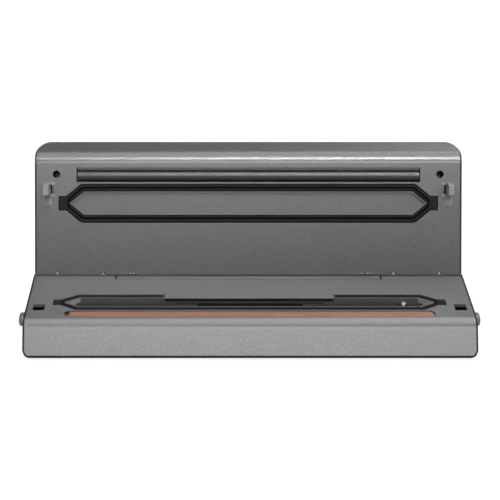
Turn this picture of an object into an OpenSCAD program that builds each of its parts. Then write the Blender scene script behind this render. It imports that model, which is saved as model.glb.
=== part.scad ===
// Bar-type vacuum sealer, lid open. Millimetres, X across, -Y to the front, Z up.
// The origin is on the table, under the middle of the open appliance.

/* [Casing] */
// Width of base and lid
casing_w = 380; // [360:1:420]
// Height of the base from its underside to the deck
base_h = 29.3; // [28.5:0.1:36]
// Wall thickness of the dark casing
wall = 2.4; // [1.8:0.1:3]
// Thickness of the casing rim beside the grey mouldings
rim = 1.6; // [1.2:0.1:2.4]
// Corner radius of the base, seen from the front
base_corner_r = 8; // [6:0.5:12]
// Distance of the rear wall behind the crease
rear_reach = 3.5; // [3.5:0.1:5]
// Radius of the lower rear edge
rear_r = 6; // [4:0.5:8]
// Thickness of the grey deck and lid mouldings
panel_t = 2.6; // [2:0.1:3.2]

/* [Deck] */
// Depth of the flat deck in front of the crease
deck_depth = 98.3; // [97:0.1:110]
// Radius of the bend in front of the deck
deck_bend_r = 12; // [9:0.5:12]
// Slope of the front face
front_slope = 62.7; // [55:0.1:66]
// Length of the sloped front face
front_face = 22; // [18:0.5:23]
// Height of the front edge where deck moulding and dark shell meet
front_seam = 2.8; // [2.6:0.1:4]
// Distance of the fixed hinge strip's ends from the sides
strip_end = 73; // [66:0.5:88]
// Depth of the fixed strip along the hinge
strip_depth = 12.5; // [10:0.1:14]
// Width of the gaps at the ends of that strip
strip_gap = 1.3; // [1:0.1:2]

/* [Lid] */
// Thickness of the closed lid
lid_h = 27; // [26:0.1:32]
// How much narrower than the base the lid is, at each side
lid_inset = 1; // [0.5:0.1:1.5]
// Distance from the nose bend of the lid to where the planes of deck and open lid meet
lid_depth = 99.5; // [98:0.1:110]
// How far in front of the deck's rear edge those planes meet
lid_forward = 3.85; // [3.6:0.05:4.2]
// Distance of the lid's rear edge from the line where they meet
lid_edge = 1.5; // [1.4:0.05:1.6]
// Radius of the bend at the nose of the lid
lid_bend_r = 13; // [9:0.5:13]
// Slope of the nose face
nose_slope = 60; // [55:0.5:62]
// Length of the sloped nose face
nose_face = 16; // [12:0.5:16]
// Corner radius of the lid, seen from the front
lid_corner_r = 12; // [8:0.5:16]
// Corner radius of the lid's nose, seen from above
lid_plan_r = 13.3; // [8:0.1:16]
// How far the lid opens
lid_open = 109.2; // [95:0.1:112]
// Gap between the closed lid and the deck
lid_gap = 0.6; // [0.5:0.05:0.9]

/* [Hinge] */
// Depth of the hinge axis behind the inner face of the lid
axis_inset = 0.9; // [0.85:0.05:1]
// Diameter of a hinge pin
pin_d = 1.4; // [1.2:0.1:1.5]
// Length of a hinge pin
pin_len = 10; // [8:0.5:12]
// Wall around a hinge pin
knuckle_wall = 0.45; // [0.4:0.05:0.5]
// Thickness of a hinge ear on the deck
ear_t = 2.4; // [2:0.1:2.8]
// Middle of a hinge ear, inward of the end of the hinge strip
ear_inset = 14; // [13:0.5:15]

/* [Seal and gaskets] */
// Middle of the vacuum chamber, in front of the crease
chamber_mid = 65.8; // [65.2:0.1:66.4]
// Half depth of the gasket ring
ring_half = 17.3; // [15:0.1:17.4]
// Distance of the straight gasket runs' ends from the sides
ring_straight_end = 42; // [41:0.5:50]
// Distance of the gasket ring's points from the sides
ring_point_end = 21; // [20.5:0.5:26]
// Width of the gasket band
band_w = 6.9; // [6:0.1:7.2]
// Distance of the gasket's end tabs from the sides
tab_end = 22; // [21:0.5:24]
// Depth of an end tab
tab_w = 13; // [10:0.5:14]
// Depth of the groove that holds a gasket
groove_depth = 6; // [5:0.1:7]
// Depth of the vacuum chamber
well_depth = 13; // [11:0.1:13.5]
// Depth of the pocket inside the lid gasket
lid_pocket_depth = 3.4; // [2:0.1:5]
// Half width of the bag stop
tongue_half = 72.6; // [60:0.1:80]
// Front edge of the bag stop
tongue_front = 57.4; // [57:0.1:57.8]
// Thickness of the bag stop
tongue_t = 2.5; // [2:0.1:3]
// Land between the gasket and the sealing slot
slot_land = 1.6; // [1.2:0.1:2]
// Distance of the sealing slot's ends from the sides
slot_end = 33.7; // [30:0.1:40]
// Width of the sealing slot
slot_w = 12.6; // [12.4:0.1:13]
// How much shorter the heating wire and its tape are than the slot
tape_short = 7.6; // [6:0.1:20]
// Width of the pressing bar
press_w = 9.6; // [8:0.1:10]
// How far the pressing bar stands out of the lid
press_out = 1.5; // [1:0.1:1.8]

/* [Latches] */
// Middle of each latch hook, from the side
hook_inset = 12.5; // [12:0.1:14]
// Thickness of a latch hook
hook_t = 4.6; // [4:0.1:5]
// Width of a latch hook, front to back
hook_w = 9.8; // [9:0.1:10.2]
// How far a latch hook reaches below the lid
hook_len = 20; // [18:0.1:21]
// Middle of the latch hooks, behind the bend at the nose of the lid
hook_setback = 24.1; // [23.6:0.1:24.6]
// Width of the latch slots in the deck
latch_slot_w = 10; // [9.6:0.1:10.4]
// How far a release button and its catch travel
button_travel = 3; // [2:0.1:3]
// How far a release button stands out
button_out = 6.2; // [4:0.1:7]
// Length of a release button, front to back
button_l = 15; // [12:0.5:16]
// Height of a release button
button_h = 10; // [8:0.5:10]
// Middle of the release buttons, in front of the crease
button_mid = 76; // [74:0.5:78]
// Middle of the release buttons, below the deck
button_drop = 11.5; // [11:0.1:13]

/* [Controls] */
// Width of the control panel on the lid
control_w = 150; // [140:1:170]
// Middle of the control panel, behind the bend at the nose of the lid
control_setback = 6.3; // [6.3:0.1:10]
// Depth of the control panel
control_l = 24; // [20:0.5:26]
// Width of a key
key_w = 19; // [14:0.5:20]
// Depth of a key
key_l = 12; // [9:0.5:13]
// How far a key is pressed
key_travel = 0.8; // [0.5:0.1:1]

/* [Inside] */
// Diameter of the pump motor
motor_d = 23; // [18:0.5:23]
// Length of the pump motor
motor_len = 42; // [34:0.5:44]
// Middle of the pump, in front of the crease
pump_mid = 23; // [22:0.1:25]
// Distance of the suction port from the right side
port_inset = 58; // [54:0.5:62]
// Diameter of the suction port
port_d = 7; // [6:0.1:7.4]
// Distance of the transformer from the left side
coil_inset = 62; // [60:0.5:64]
// Diameter of the pins in the mains inlet
inlet_pin_d = 2.4; // [2.4:0.1:2.4]
// Distance between the pins in the mains inlet
inlet_pitch = 8.6; // [8.6:0.1:8.6]
// Distance of the mains inlet from the left side
inlet_inset = 32; // [25:1:40]

/* [Feet and screws] */
// Height of the rubber feet below the base
foot_h = 2; // [2:0.1:4]
// Diameter of a rubber foot
foot_d = 14; // [10:0.5:18]
// Diameter of a screw shank
screw_d = 3; // [2.5:0.1:3.2]
// Diameter of a screw head
head_d = 5.6; // [5:0.1:6]
// Diameter of the screw holes in the lid's inner face
lid_hole_d = 6.6; // [6:0.1:6.8]

/* [Hidden] */
$fn = 64;
eps = 0.01;
far = 400;
// Clearances: a running fit, a loose fit, and the air kept between bodies.
run_gap = 0.04;
fit_gap = 0.3;
loose = 0.5;

// The closed and the open lid plane both pass the hinge axis at axis_inset. Distances in the lid, D,
// run from the line where the planes of deck and open lid meet, which is axis_back in front of the axis.
axis_z = lid_gap + axis_inset;
axis_back = (axis_inset - cos(lid_open) * axis_z) / sin(lid_open);
axis_D = axis_back * -cos(lid_open) + axis_z * sin(lid_open);
// Distances in the base, d, run from the deck's rear edge, with the axis axis_y behind it.
axis_y = axis_back - lid_forward;
// A point of the lid at distance D closes onto the deck at d = D - close_shift.
close_shift = axis_y + axis_D;

// Base profile: bend, sloped face and lower front radius.
base_drop = deck_bend_r * (1 - cos(front_slope)) + front_face * sin(front_slope);
base_low_r = (base_h - base_drop) / (1 + cos(front_slope));
base_front = deck_depth + deck_bend_r * sin(front_slope) + front_face * cos(front_slope);
base_low_d = base_front - base_low_r * sin(front_slope);
base_reach = base_low_d + base_low_r;
// Lid profile, the same way round but outward.
lid_drop = lid_bend_r * (1 - cos(nose_slope)) + nose_face * sin(nose_slope);
lid_low_r = (lid_h - lid_drop) / (1 + cos(nose_slope));
lid_front = lid_depth + lid_bend_r * sin(nose_slope) + nose_face * cos(nose_slope);
lid_low_d = lid_front - lid_low_r * sin(nose_slope);
lid_reach = lid_low_d + lid_low_r;
// How far the open lid reaches behind the deck's rear edge.
lid_back = lid_low_d * -cos(lid_open) + (lid_h - lid_low_r) * sin(lid_open) + lid_low_r - lid_forward;
// Fall of the open lid's rear face, per millimetre to the back, and its height over the deck's rear edge.
fall = 1 / tan(lid_open);
rear_z = lid_edge * sin(lid_open) + fall * (lid_forward + lid_edge * cos(lid_open));
crease_y = (base_reach - lid_back) / 2;
deck_z = foot_h + base_h;

half_w = casing_w / 2;
lid_w = casing_w - 2 * lid_inset;
inner_half = half_w - rim;
strip_half = half_w - strip_end;
ring_straight = half_w - ring_straight_end;
ring_point = half_w - ring_point_end;
tab_half = half_w - tab_end;
slot_half = half_w - slot_end;
tape_len = 2 * slot_half - tape_short;
slot_mid = chamber_mid + ring_half + slot_land + slot_w / 2;
hook_x = half_w - hook_inset;
port_x = half_w - port_inset;
inlet_x = half_w - inlet_inset;
motor_x = port_x - 98;
floor_z = -base_h + wall;
front_seam_z = -base_h + front_seam;
lid_seam = lid_h - lid_low_r + 1;

// Slope of the gasket ring's ends.
ring_angle = atan(ring_half / (ring_point - ring_straight));
pocket_inset = band_w + 1;
seat_wall = 1.6;
well_wall = 2;
slot_wall = 1.6;
heater_bar_t = 4.8;
wire_w = 5;
wire_t = 0.2;
tape_t = 0.3;
// The closed pressing bar stops just above the tape.
tape_drop = press_out - lid_gap + fit_gap;
// Depth of the sealing slot, and of the moulding around it.
slot_depth = tape_drop + tape_t + wire_t + heater_bar_t;
slot_seat = slot_depth + slot_wall;
tray_half = ring_straight + 0.6;
tray_wall = 1.4;
tray_drop = 3.6;
// Rear edge of the tray, just clear of the bag stop, from the middle of the chamber.
tray_back = chamber_mid - tongue_front - loose;
lid_chamber_mid = chamber_mid + close_shift - 1;
lid_slot_mid = slot_mid + close_shift - 1.1;

knuckle_r = pin_d / 2 + knuckle_wall;
ear_r = pin_d / 2 + run_gap + knuckle_wall;
ear_x = strip_half - ear_inset;
// Notch in the lid around an ear: half width, depth from the meeting line and height.
ear_slot = ear_t / 2 + fit_gap;
ear_room = axis_D + ear_r + fit_gap;
ear_notch = axis_inset + 2 * ear_r + fit_gap;
bar_half = slot_half - 4.6;
bar_depth = 6.4;

hook_D = lid_depth - hook_setback;
hook_d = hook_D - close_shift;
hook_front_d = hook_d + hook_w / 2;
// Radius swept by the tip of a hook about the hinge axis.
hook_sweep = norm([hook_front_d + axis_y, hook_len + axis_inset]);
slot_front_d = hook_sweep - axis_y + fit_gap;
slot_back_d = hook_d - hook_w / 2 - fit_gap;
window_w = hook_w - 4.8;
window_h = 5.5;
window_low = hook_len - 3.9;
catch_z = lid_gap - window_low + window_h / 2;
catch_h = window_h - 1.5;
nose_w = window_w - 1;
catch_nose_x = hook_x - hook_t / 2 - 0.6;
catch_out_x = casing_w / 2 - rim - 1.1 - button_travel - fit_gap;
arm_w = 2.2;
catch_back_d = slot_back_d - arm_w - 0.5;
catch_front_d = slot_front_d + arm_w + 0.5;
// Drop of the rear wall's top below the open lid.
wall_drop = 0.9;

// Transformer: its middle, and the widths of its core and coil. The board stands between it and the pump.
coil_x = coil_inset - half_w;
coil_mid = 24;
core_w = 44;
core_l = 28;
coil_w = 32;
coil_l = 22;
board_x0 = coil_x + core_w / 2 + 14;
board_x1 = motor_x - 12;
board_w = board_x1 - board_x0;

board_d0 = 7;
board_d1 = 39;
base_screw_spots = [
  [14 - half_w, 12], [half_w - 14, 12], [board_x1 + 6, 8],
  [20 - half_w, deck_depth + 4], [half_w - 20, deck_depth + 4], [0, deck_depth + 4]
];
head_t = 1.6;
// Face that the heads of the base screws bear on, and where shell and moulding bosses meet.
screw_seat = 4 - base_h;
boss_split = screw_seat + 6.3;
base_screw_len = 15;
boss_d = 7;
post_d = 5;
post_inset = [6, 5];
lid_screw_spots = [[20.3 - half_w, lid_depth - 9.6], [half_w - 20.3, lid_depth - 9.6]];
edge_screw_x = [20.8 - half_w, 61.3 - half_w, half_w - 61.3, half_w - 20.8];
edge_screw_D = lid_edge + 0.9;
edge_recess_w = 4.6;
edge_post_w = 6;
edge_post_h = 14;
edge_head_d = 1.4;
edge_screw_d = 0.9;
lid_screw_reach = lid_h - wall - 4;
foot_x = half_w - 40;
foot_back = 20;
foot_fore = deck_depth - 6.3;
foot_spots = [[-foot_x, foot_back], [foot_x, foot_back], [-foot_x, foot_fore], [foot_x, foot_fore]];
board_z = floor_z + 3;
pump_z = floor_z + motor_d / 2 + 0.4;
bracket_t = 1.5;
bracket_x = motor_x + motor_len;
bracket_half = 13;
bracket_foot = [14, 8];
crank_x = bracket_x + bracket_t + 2 * fit_gap;
crank_w = 8;
shaft_d = 3;
shaft_in = 10;
head_x0 = crank_x + crank_w + 0.8;
head_half = 11;
valve_l = 18;
head_x1 = port_x + 9;
hose_z = floor_z + 4;
hose_d = 6;
bore_d = 3;
port_bore = 2.6;
// Where the suction port's round end starts.
port_top = -5.6;
// Distance of the suction port behind the middle of the chamber.
port_back = 4;
port_low = -well_depth - well_wall - 3;
inlet_z = -base_h / 2 - 1;
inlet_hole = [20, 11];
inlet_flange = [24, 13];
inlet_socket = [16.6, 7.8];
inlet_depth = 12;
control_mid = lid_depth - control_setback;
key_out = 0.5;
key_body = 3.7;
key_flange = 1;
// The switches on the board leave the keys room for their travel.
control_board_top = lid_h + key_out - key_body - key_flange - key_travel - 1.2;
key_step = 26;
key_x0 = -control_w / 2 + 20;

// --- Placing ---

// Children drawn about the deck's rear edge, at deck level.
module on_base() { translate([0, crease_y, deck_z]) children(); }

// Children drawn on the lid: -Y runs away from the hinge, +Z out of the lid's back.
module on_lid() { on_base() translate([0, -lid_forward, 0]) rotate([-lid_open, 0, 0]) children(); }

// Extrudes a profile drawn in (Y, Z) across the casing.
module across(w) { rotate([90, 0, 90]) translate([0, 0, -w / 2]) linear_extrude(w) children(); }

// A plain box by its limits.
module box(x0, x1, y0, y1, z0, z1) { translate([x0, y0, z0]) cube([x1 - x0, y1 - y0, z1 - z0]); }

// --- Shared outlines ---

// Side profile of base or lid, seen along X, shrunk by i: flat top, bend, slope, lower radius, back.
module side_profile(depth, r1, slope, face, r2, h, back, r3, i) {
  bend = [-depth, -r1];
  end = [-depth - r1 * sin(slope) - face * cos(slope), -r1 * (1 - cos(slope)) - face * sin(slope)];
  low = end + r2 * [sin(slope), -cos(slope)];
  n = [-sin(slope), cos(slope)];
  // Inside a small lower radius, face and bottom meet in a corner.
  corner = (r2 - i) * (n - (1 + cos(slope)) / sin(slope) * [cos(slope), sin(slope)]);
  lower = r2 > i ? [low + (r2 - i) * n, [low[0], i - h]] : [low + corner];
  polygon(concat(
    [[-depth, -i], bend + (r1 - i) * n], lower,
    [[back - r3, i - h], [back - i, r3 - h], [back - i, -i]]
  ));
  translate(bend) circle(r1 - i);
  if (r2 > i) translate(low) circle(r2 - i);
  translate([back - r3, r3 - h]) circle(r3 - i);
}

module base_profile(i) {
  side_profile(deck_depth, deck_bend_r, front_slope, front_face, base_low_r, base_h, rear_reach, rear_r, i);
}

module lid_profile(i) {
  mirror([0, 1])
    side_profile(lid_depth, lid_bend_r, nose_slope, nose_face, lid_low_r, lid_h, -lid_edge, 4, i);
}

// A rectangle w wide and h deep with two rounded corners, shrunk by i.
module rounded_tray(w, h, r, i) {
  translate([i - w / 2, r - h]) square([w - 2 * i, h - r + 5]);
  translate([r - w / 2, i - h]) square([w - 2 * r, h]);
  for (s = [-1, 1]) translate([s * (w / 2 - r), r - h]) circle(r - i);
}

// Front view of a tray with two rounded lower corners, run along Y.
module rounded_run(w, h, r, i) {
  rotate([90, 0, 0]) translate([0, 0, -far / 2]) linear_extrude(far) rounded_tray(w, h, r, i);
}

module base_body(i) {
  intersection() {
    across(casing_w - 2 * i) base_profile(i);
    rounded_run(casing_w, base_h, base_corner_r, i);
  }
}

// Plan of the lid, with the rounded corners of its nose.
module lid_plan(i) {
  translate([0, 0, -1]) linear_extrude(lid_h + 2) rounded_tray(lid_w, lid_reach, lid_plan_r, i);
}

module lid_body(i) {
  intersection() {
    across(lid_w - 2 * i) lid_profile(i);
    mirror([0, 0, 1]) rounded_run(lid_w, lid_h, lid_corner_r, i);
    lid_plan(i);
  }
}

// Six-sided ring outline of the gasket and chamber, shrunk by i.
module ring_outline(i) {
  hx = ring_straight - i * tan(ring_angle / 2);
  px = ring_point - i / sin(ring_angle);
  hy = ring_half - i;
  polygon([[-px, 0], [-hx, hy], [hx, hy], [px, 0], [hx, -hy], [-hx, -hy]]);
}

// The gasket's outer outline with its end tabs, grown by g.
module gasket_outline(g) {
  ring_outline(-g);
  square([2 * (tab_half + g), tab_w + 2 * g], center = true);
}

// A slot with round ends, of full length l and width w.
module round_slot(l, w) {
  square([l - w, w], center = true);
  for (s = [-1, 1]) translate([s * (l - w) / 2, 0]) circle(w / 2);
}

// A screw with its head down at z = 0 and its point up.
module screw(len) {
  cylinder(d = head_d, h = head_t);
  cylinder(d = screw_d, h = len);
}

// Room for the grey deck moulding between the rims.
module deck_room() {
  intersection() {
    box(-far, far, -far, 0, front_seam_z, far);
    rounded_run(casing_w, base_h, base_corner_r, rim);
  }
}

// Room for the grey inner moulding of the lid.
module lid_panel_room() {
  intersection() {
    union() {
      box(-far, far, -far, -lid_edge - wall, -1, lid_seam);
      box(-far, far, -far, 1, -1, panel_t);
    }
    mirror([0, 0, 1]) rounded_run(lid_w, lid_h, lid_corner_r, rim);
  }
}

// --- Base ---

module base_bosses(d, from, to, g) {
  for (p = base_screw_spots) translate([p[0], -p[1], from]) cylinder(d = d + g, h = to - from);
}

module hinge_ears() {
  for (s = [-1, 1]) translate([s * ear_x - ear_t / 2, 0, 0]) difference() {
    union() {
      translate([0, axis_y, axis_z]) rotate([0, 90, 0]) cylinder(r = ear_r, h = ear_t);
      box(0, ear_t, axis_y - ear_r, axis_y + ear_r, -panel_t / 2, axis_z);
    }
    translate([-1, axis_y, axis_z]) rotate([0, 90, 0]) cylinder(d = pin_d + 2 * run_gap, h = ear_t + 2);
  }
}

// Bosses, board posts and latch rails that stand on the floor of the base.
module floor_posts() {
  base_bosses(boss_d, -base_h + 1, boss_split, 0);
  for (x = [board_x0 + post_inset[0], board_x1 - post_inset[0]])
    for (d = [board_d0 + post_inset[1], board_d1 - post_inset[1]])
      translate([x, -d, -base_h + 1]) cylinder(d = post_d, h = base_h - 1 + board_z);
  // Rails under both arms of each latch catch.
  for (s = [-1, 1], d = [catch_back_d + arm_w, catch_front_d])
    translate([s * (catch_out_x - 6), -d, 0])
      box(-5, 5, 0, arm_w, -base_h + 1, catch_z - catch_h / 2 - fit_gap);
}

module bottom_shell() {
  color("#2c2d2f") on_base() {
    difference() {
      union() {
        difference() {
          base_body(0);
          base_body(wall);
          deck_room();
          // The top of the rear wall follows the open lid.
          translate([0, 0, rear_z - wall_drop]) across(casing_w + 2)
            polygon([[0, 0], [far, far * fall], [far, far], [0, far]]);
        }
        floor_posts();
      }
      base_bosses(screw_d + 0.4, -far, far, 0);
      base_bosses(head_d + 0.6, -far, screw_seat, 0);
      for (s = [-1, 1]) translate([s * casing_w / 2, -button_mid, -button_drop]) rotate([90, 0, 90])
        linear_extrude(4 * rim, center = true) round_slot(button_l + 2 * fit_gap, button_h + 2 * fit_gap);
      // Opening for the mains inlet.
      translate([-inlet_x, 0, inlet_z]) rotate([90, 0, 0]) linear_extrude(2 * far, center = true)
        round_slot(inlet_hole[0], inlet_hole[1]);
      // Cooling slots under the transformer.
      for (k = [0 : 5]) box(coil_x - 11, coil_x + 22, -14 - 4.4 * k, -12 - 4.4 * k, -far, floor_z + 1);
      // Seats of the feet.
      for (p = foot_spots) translate([p[0], -p[1], -base_h - 1]) cylinder(d = foot_d + 0.4, h = 2);
    }
    // Stops that hold the open lid.
    for (s = [-1, 1]) intersection() {
      translate([s * 70 - 5, 0, 0]) box(0, 10, rear_reach - wall, rear_reach, -4, 2);
      translate([0, 0, rear_z - fit_gap]) across(casing_w)
        polygon([[0, 0], [10, 10 * fall], [10, -5], [0, -5]]);
    }
  }
}

module deck_panel() {
  // Inner corner between the bend and the sloped face; nothing of the moulding lies behind that face.
  bend_r = deck_bend_r - panel_t;
  bend_in = [-deck_depth - bend_r * sin(front_slope), bend_r * cos(front_slope) - deck_bend_r];
  color("#84868a") on_base() difference() {
    union() {
      intersection() {
        across(casing_w) difference() {
          base_profile(0);
          base_profile(panel_t);
          polygon([
            bend_in, bend_in - far * [cos(front_slope), sin(front_slope)], [far, -far], [far, bend_in[1]]
          ]);
        }
        deck_room();
      }
      // Down-turned rear edge.
      box(-inner_half, inner_half, -panel_t, 0, -8, -1);
      hinge_ears();
      translate([0, -chamber_mid, 0]) {
        mirror([0, 0, 1]) linear_extrude(groove_depth + seat_wall) gasket_outline(seat_wall);
        mirror([0, 0, 1]) linear_extrude(well_depth + well_wall) ring_outline(pocket_inset - well_wall);
      }
      translate([0, -slot_mid, 0]) mirror([0, 0, 1]) linear_extrude(slot_seat)
        round_slot(2 * (slot_half + slot_wall), slot_w + 2 * slot_wall);
      intersection() {
        base_bosses(boss_d, boss_split, -1, 0);
        base_body(1);
      }
    }
    difference() {
      union() {
        translate([0, -chamber_mid, 0]) {
          translate([0, 0, -groove_depth]) linear_extrude(far) difference() {
            gasket_outline(0);
            ring_outline(band_w);
          }
          translate([0, 0, -well_depth]) linear_extrude(far) ring_outline(pocket_inset);
        }
      }
      // The bag stop bridges the rear run of the gasket.
      box(-tongue_half, tongue_half, -tongue_front, 0, -tongue_t, 0);
    }
    translate([0, -slot_mid, -slot_depth]) linear_extrude(far) round_slot(2 * slot_half, slot_w);
    // Latch slots.
    for (s = [-1, 1]) translate([s * (hook_x + 1.5), 0, 0])
      box(-latch_slot_w / 2, latch_slot_w / 2, -slot_front_d, -slot_back_d, -far, far);
    // Parting line of the hinge strip and the gaps at its ends.
    box(-strip_half, strip_half, -strip_depth - 0.4, -strip_depth, -0.8, 1);
    for (s = [-1, 1]) translate([s * strip_half, 0, 0])
      box(-strip_gap / 2, strip_gap / 2, -strip_depth - 0.4, -3, -2, 1);
    base_bosses(screw_d + 2 * run_gap, -far, screw_seat - head_t + base_screw_len + fit_gap, 0);
    // Passage of the suction port.
    translate([port_x, port_back - chamber_mid, -far]) cylinder(d = port_d, h = far);
  }
}

module base_gasket() {
  color("#222325") on_base() translate([0, -chamber_mid, -groove_depth]) difference() {
    union() {
      linear_extrude(groove_depth - 0.9) difference() {
        gasket_outline(0);
        ring_outline(band_w);
      }
      // Two sealing ridges.
      for (i = [0.6, 4]) linear_extrude(groove_depth + 0.15) difference() {
        ring_outline(i);
        ring_outline(i + 2.2);
      }
      for (s = [-1, 1]) translate([s * (tab_half - 4), 0, groove_depth / 2])
        cube([6, tab_w - 2, groove_depth], center = true);
    }
    translate([0, chamber_mid, groove_depth])
      box(-tongue_half - 1, tongue_half + 1, -tongue_front, 0, -tongue_t - 0.2, far);
  }
}

module heater_bar() {
  color("#3a2c28") on_base() translate([0, -slot_mid, -slot_depth]) linear_extrude(heater_bar_t)
    round_slot(2 * slot_half - 0.2, slot_w - 0.2);
}

module heating_wire() {
  color("#b8b09c") on_base() translate([0, -slot_mid, heater_bar_t - slot_depth + wire_t / 2])
    cube([tape_len, wire_w, wire_t], center = true);
}

module heater_tape() {
  color("#a87a60") on_base() translate([0, -slot_mid, heater_bar_t - slot_depth + wire_t + tape_t / 2])
    cube([tape_len, slot_w - 1.2, tape_t], center = true);
}

module heater_terminals() {
  color("#b89a4c") on_base() for (s = [-1, 1]) translate([s * (tape_len / 2 - 8), -slot_mid, 0])
    box(-4, 4, -4, 4, -slot_seat - 4, -slot_seat);
}

module suction_port() {
  color("#d8d9da") on_base() translate([port_x, port_back - chamber_mid, 0]) difference() {
    union() {
      translate([0, 0, port_low]) cylinder(d = port_d, h = port_top - port_low);
      translate([0, 0, port_top]) intersection() {
        sphere(d = port_d);
        box(-far, far, -far, far, 0, far);
      }
    }
    translate([0, 0, -far]) cylinder(d = port_bore, h = 2 * far);
  }
}

// The hose's run from under the suction port back to the pump, d thick.
module hose_run(d, top) {
  y1 = port_back - chamber_mid;
  y0 = -pump_mid - 13;
  translate([port_x, y1, hose_z]) cylinder(d = d, h = top - hose_z);
  translate([port_x, y1, hose_z]) sphere(d = d);
  translate([port_x, y1, hose_z]) rotate([-90, 0, 0]) cylinder(d = d, h = y0 - y1);
}

module vacuum_hose() {
  color("#d2d4d0") on_base() difference() {
    hose_run(hose_d, port_low);
    hose_run(bore_d, port_low + 1);
    translate([port_x, -pump_mid - 14, hose_z]) rotate([-90, 0, 0]) cylinder(d = bore_d, h = 5);
  }
}

module pump_motor() {
  color("#b9bbbd") on_base() translate([motor_x, -pump_mid, pump_z]) rotate([0, 90, 0]) difference() {
    union() {
      cylinder(d = motor_d, h = motor_len);
      translate([0, 0, -2]) cylinder(d = 8, h = 2);
    }
    translate([0, 0, motor_len - shaft_in - 1]) cylinder(d = shaft_d + 2 * run_gap, h = far);
  }
}

module pump_bracket() {
  color("#c9cbcc") on_base() difference() {
    union() {
      box(bracket_x, bracket_x + bracket_t, -pump_mid - bracket_half, -pump_mid + bracket_half, floor_z, -6);
      for (s = [-1, 1]) translate([bracket_x, s * (bracket_half - 0.5) - pump_mid, floor_z])
        box(-bracket_foot[0], 0, -0.5, 0.5, 0, bracket_foot[1]);
    }
    translate([bracket_x - 1, -pump_mid, pump_z]) rotate([0, 90, 0])
      cylinder(d = shaft_d + 2 * fit_gap, h = 4);
  }
}

module pump_crank() {
  color("#9a9c9e") on_base() translate([0, -pump_mid, pump_z]) rotate([0, 90, 0]) {
    translate([0, 0, bracket_x - shaft_in]) cylinder(d = shaft_d, h = crank_x + 1 - bracket_x + shaft_in);
    translate([0, 0, crank_x]) cylinder(d = 17, h = 3);
    translate([3, 0, crank_x + 3]) cylinder(d = 8, h = crank_w - 3);
  }
}

module pump_head() {
  color("#33363a") on_base() difference() {
    union() {
      box(head_x0, head_x1, -pump_mid - head_half, -pump_mid + head_half, floor_z, -7);
      translate([port_x, -pump_mid - head_half, hose_z]) rotate([90, 0, 0]) cylinder(d = hose_d + 1.6, h = 2);
    }
    translate([port_x, -pump_mid, hose_z]) rotate([90, 0, 0]) cylinder(d = bore_d, h = far);
  }
}

module release_valve() {
  color("#4a6d8c") on_base() {
    box(head_x1, head_x1 + valve_l, -pump_mid - 8, -pump_mid + 8, floor_z, floor_z + 14);
    translate([head_x1 + valve_l / 2, -pump_mid, floor_z + 14]) cylinder(d = 7, h = 3);
  }
}

module main_board() {
  color("#2f6b3d") on_base() box(board_x0, board_x1, -board_d1, -board_d0, board_z, board_z + 1.6);
}

module board_components() {
  top = board_z + 1.6;
  color("#20242c") on_base() {
    translate([board_x0, -board_d0, top]) {
      translate([0.07 * board_w, 0, 0]) box(0, 18, -29, -11, 0, 12);
      translate([0.28 * board_w, 0, 0]) box(0, 12, -27, -17, 0, 8);
      for (k = [0 : 2]) translate([(0.485 + 0.105 * k) * board_w, -23, 0]) cylinder(d = 8, h = 12);
      translate([0.74 * board_w, 0, 0]) box(0, 10, -27, -17, 0, 3);
      box(0.28 * board_w, 0.9 * board_w, -11, -7, 0, 5);
    }
  }
}

module transformer() {
  color("#70563c") on_base() {
    translate([coil_x, -coil_mid, floor_z]) {
      box(-core_w / 2, core_w / 2, -core_l / 2, core_l / 2, 0, 4);
      box(-coil_w / 2, coil_w / 2, -coil_l / 2, coil_l / 2, 4, -8 - floor_z);
    }
  }
}

module pressure_sensor() {
  color("#d8d8d2") on_base() {
    translate([board_x1 - 9, -board_d0 - 18, board_z + 1.6]) {
      box(-5, 5, -5, 5, 0, 4.4);
      translate([0, 0, 4.4]) cylinder(d = 3, h = 4);
    }
  }
}

module power_inlet() {
  color("#1c1d1f") on_base() translate([-inlet_x, 0, inlet_z]) rotate([90, 0, 0]) difference() {
    translate([0, 0, -rear_reach]) union() {
      linear_extrude(inlet_depth + 3) round_slot(inlet_hole[0] - 0.4, inlet_hole[1] - 0.4);
      translate([0, 0, wall]) linear_extrude(inlet_depth + 3 - wall)
        round_slot(inlet_flange[0], inlet_flange[1]);
    }
    translate([0, 0, -rear_reach - 1]) linear_extrude(inlet_depth + 1) {
      round_slot(inlet_socket[0], inlet_socket[1]);
    }
  }
}

module inlet_pins() {
  color("#c8b070") on_base() for (s = [-1, 1])
    translate([s * inlet_pitch / 2 - inlet_x, rear_reach - inlet_depth, inlet_z]) rotate([-90, 0, 0])
      cylinder(d = inlet_pin_d, h = 9);
}

module rubber_feet() {
  color("#303133") on_base() for (p = foot_spots) translate([p[0], -p[1], -base_h - foot_h])
    cylinder(d = foot_d, h = foot_h + 1);
}

module base_screws() {
  color("#a9abad") on_base() for (p = base_screw_spots)
    translate([p[0], -p[1], screw_seat - head_t]) screw(base_screw_len);
}

module lid_switches() {
  color("#26282a") on_base() for (s = [-1, 1]) translate([s * (hook_x + 0.5), -hook_d, 0]) {
    box(-4, 4, -5, 5, floor_z, floor_z + 4.6);
    translate([0, 0, floor_z + 4.6]) cylinder(d = 3, h = 1.4);
  }
}

// Plan of the tray about the middle of the chamber, shrunk by i.
module tray_outline(i) {
  intersection() {
    ring_outline(pocket_inset + loose + i);
    translate([i - tray_half, -far]) square([2 * (tray_half - i), far + tray_back - i]);
  }
}

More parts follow.
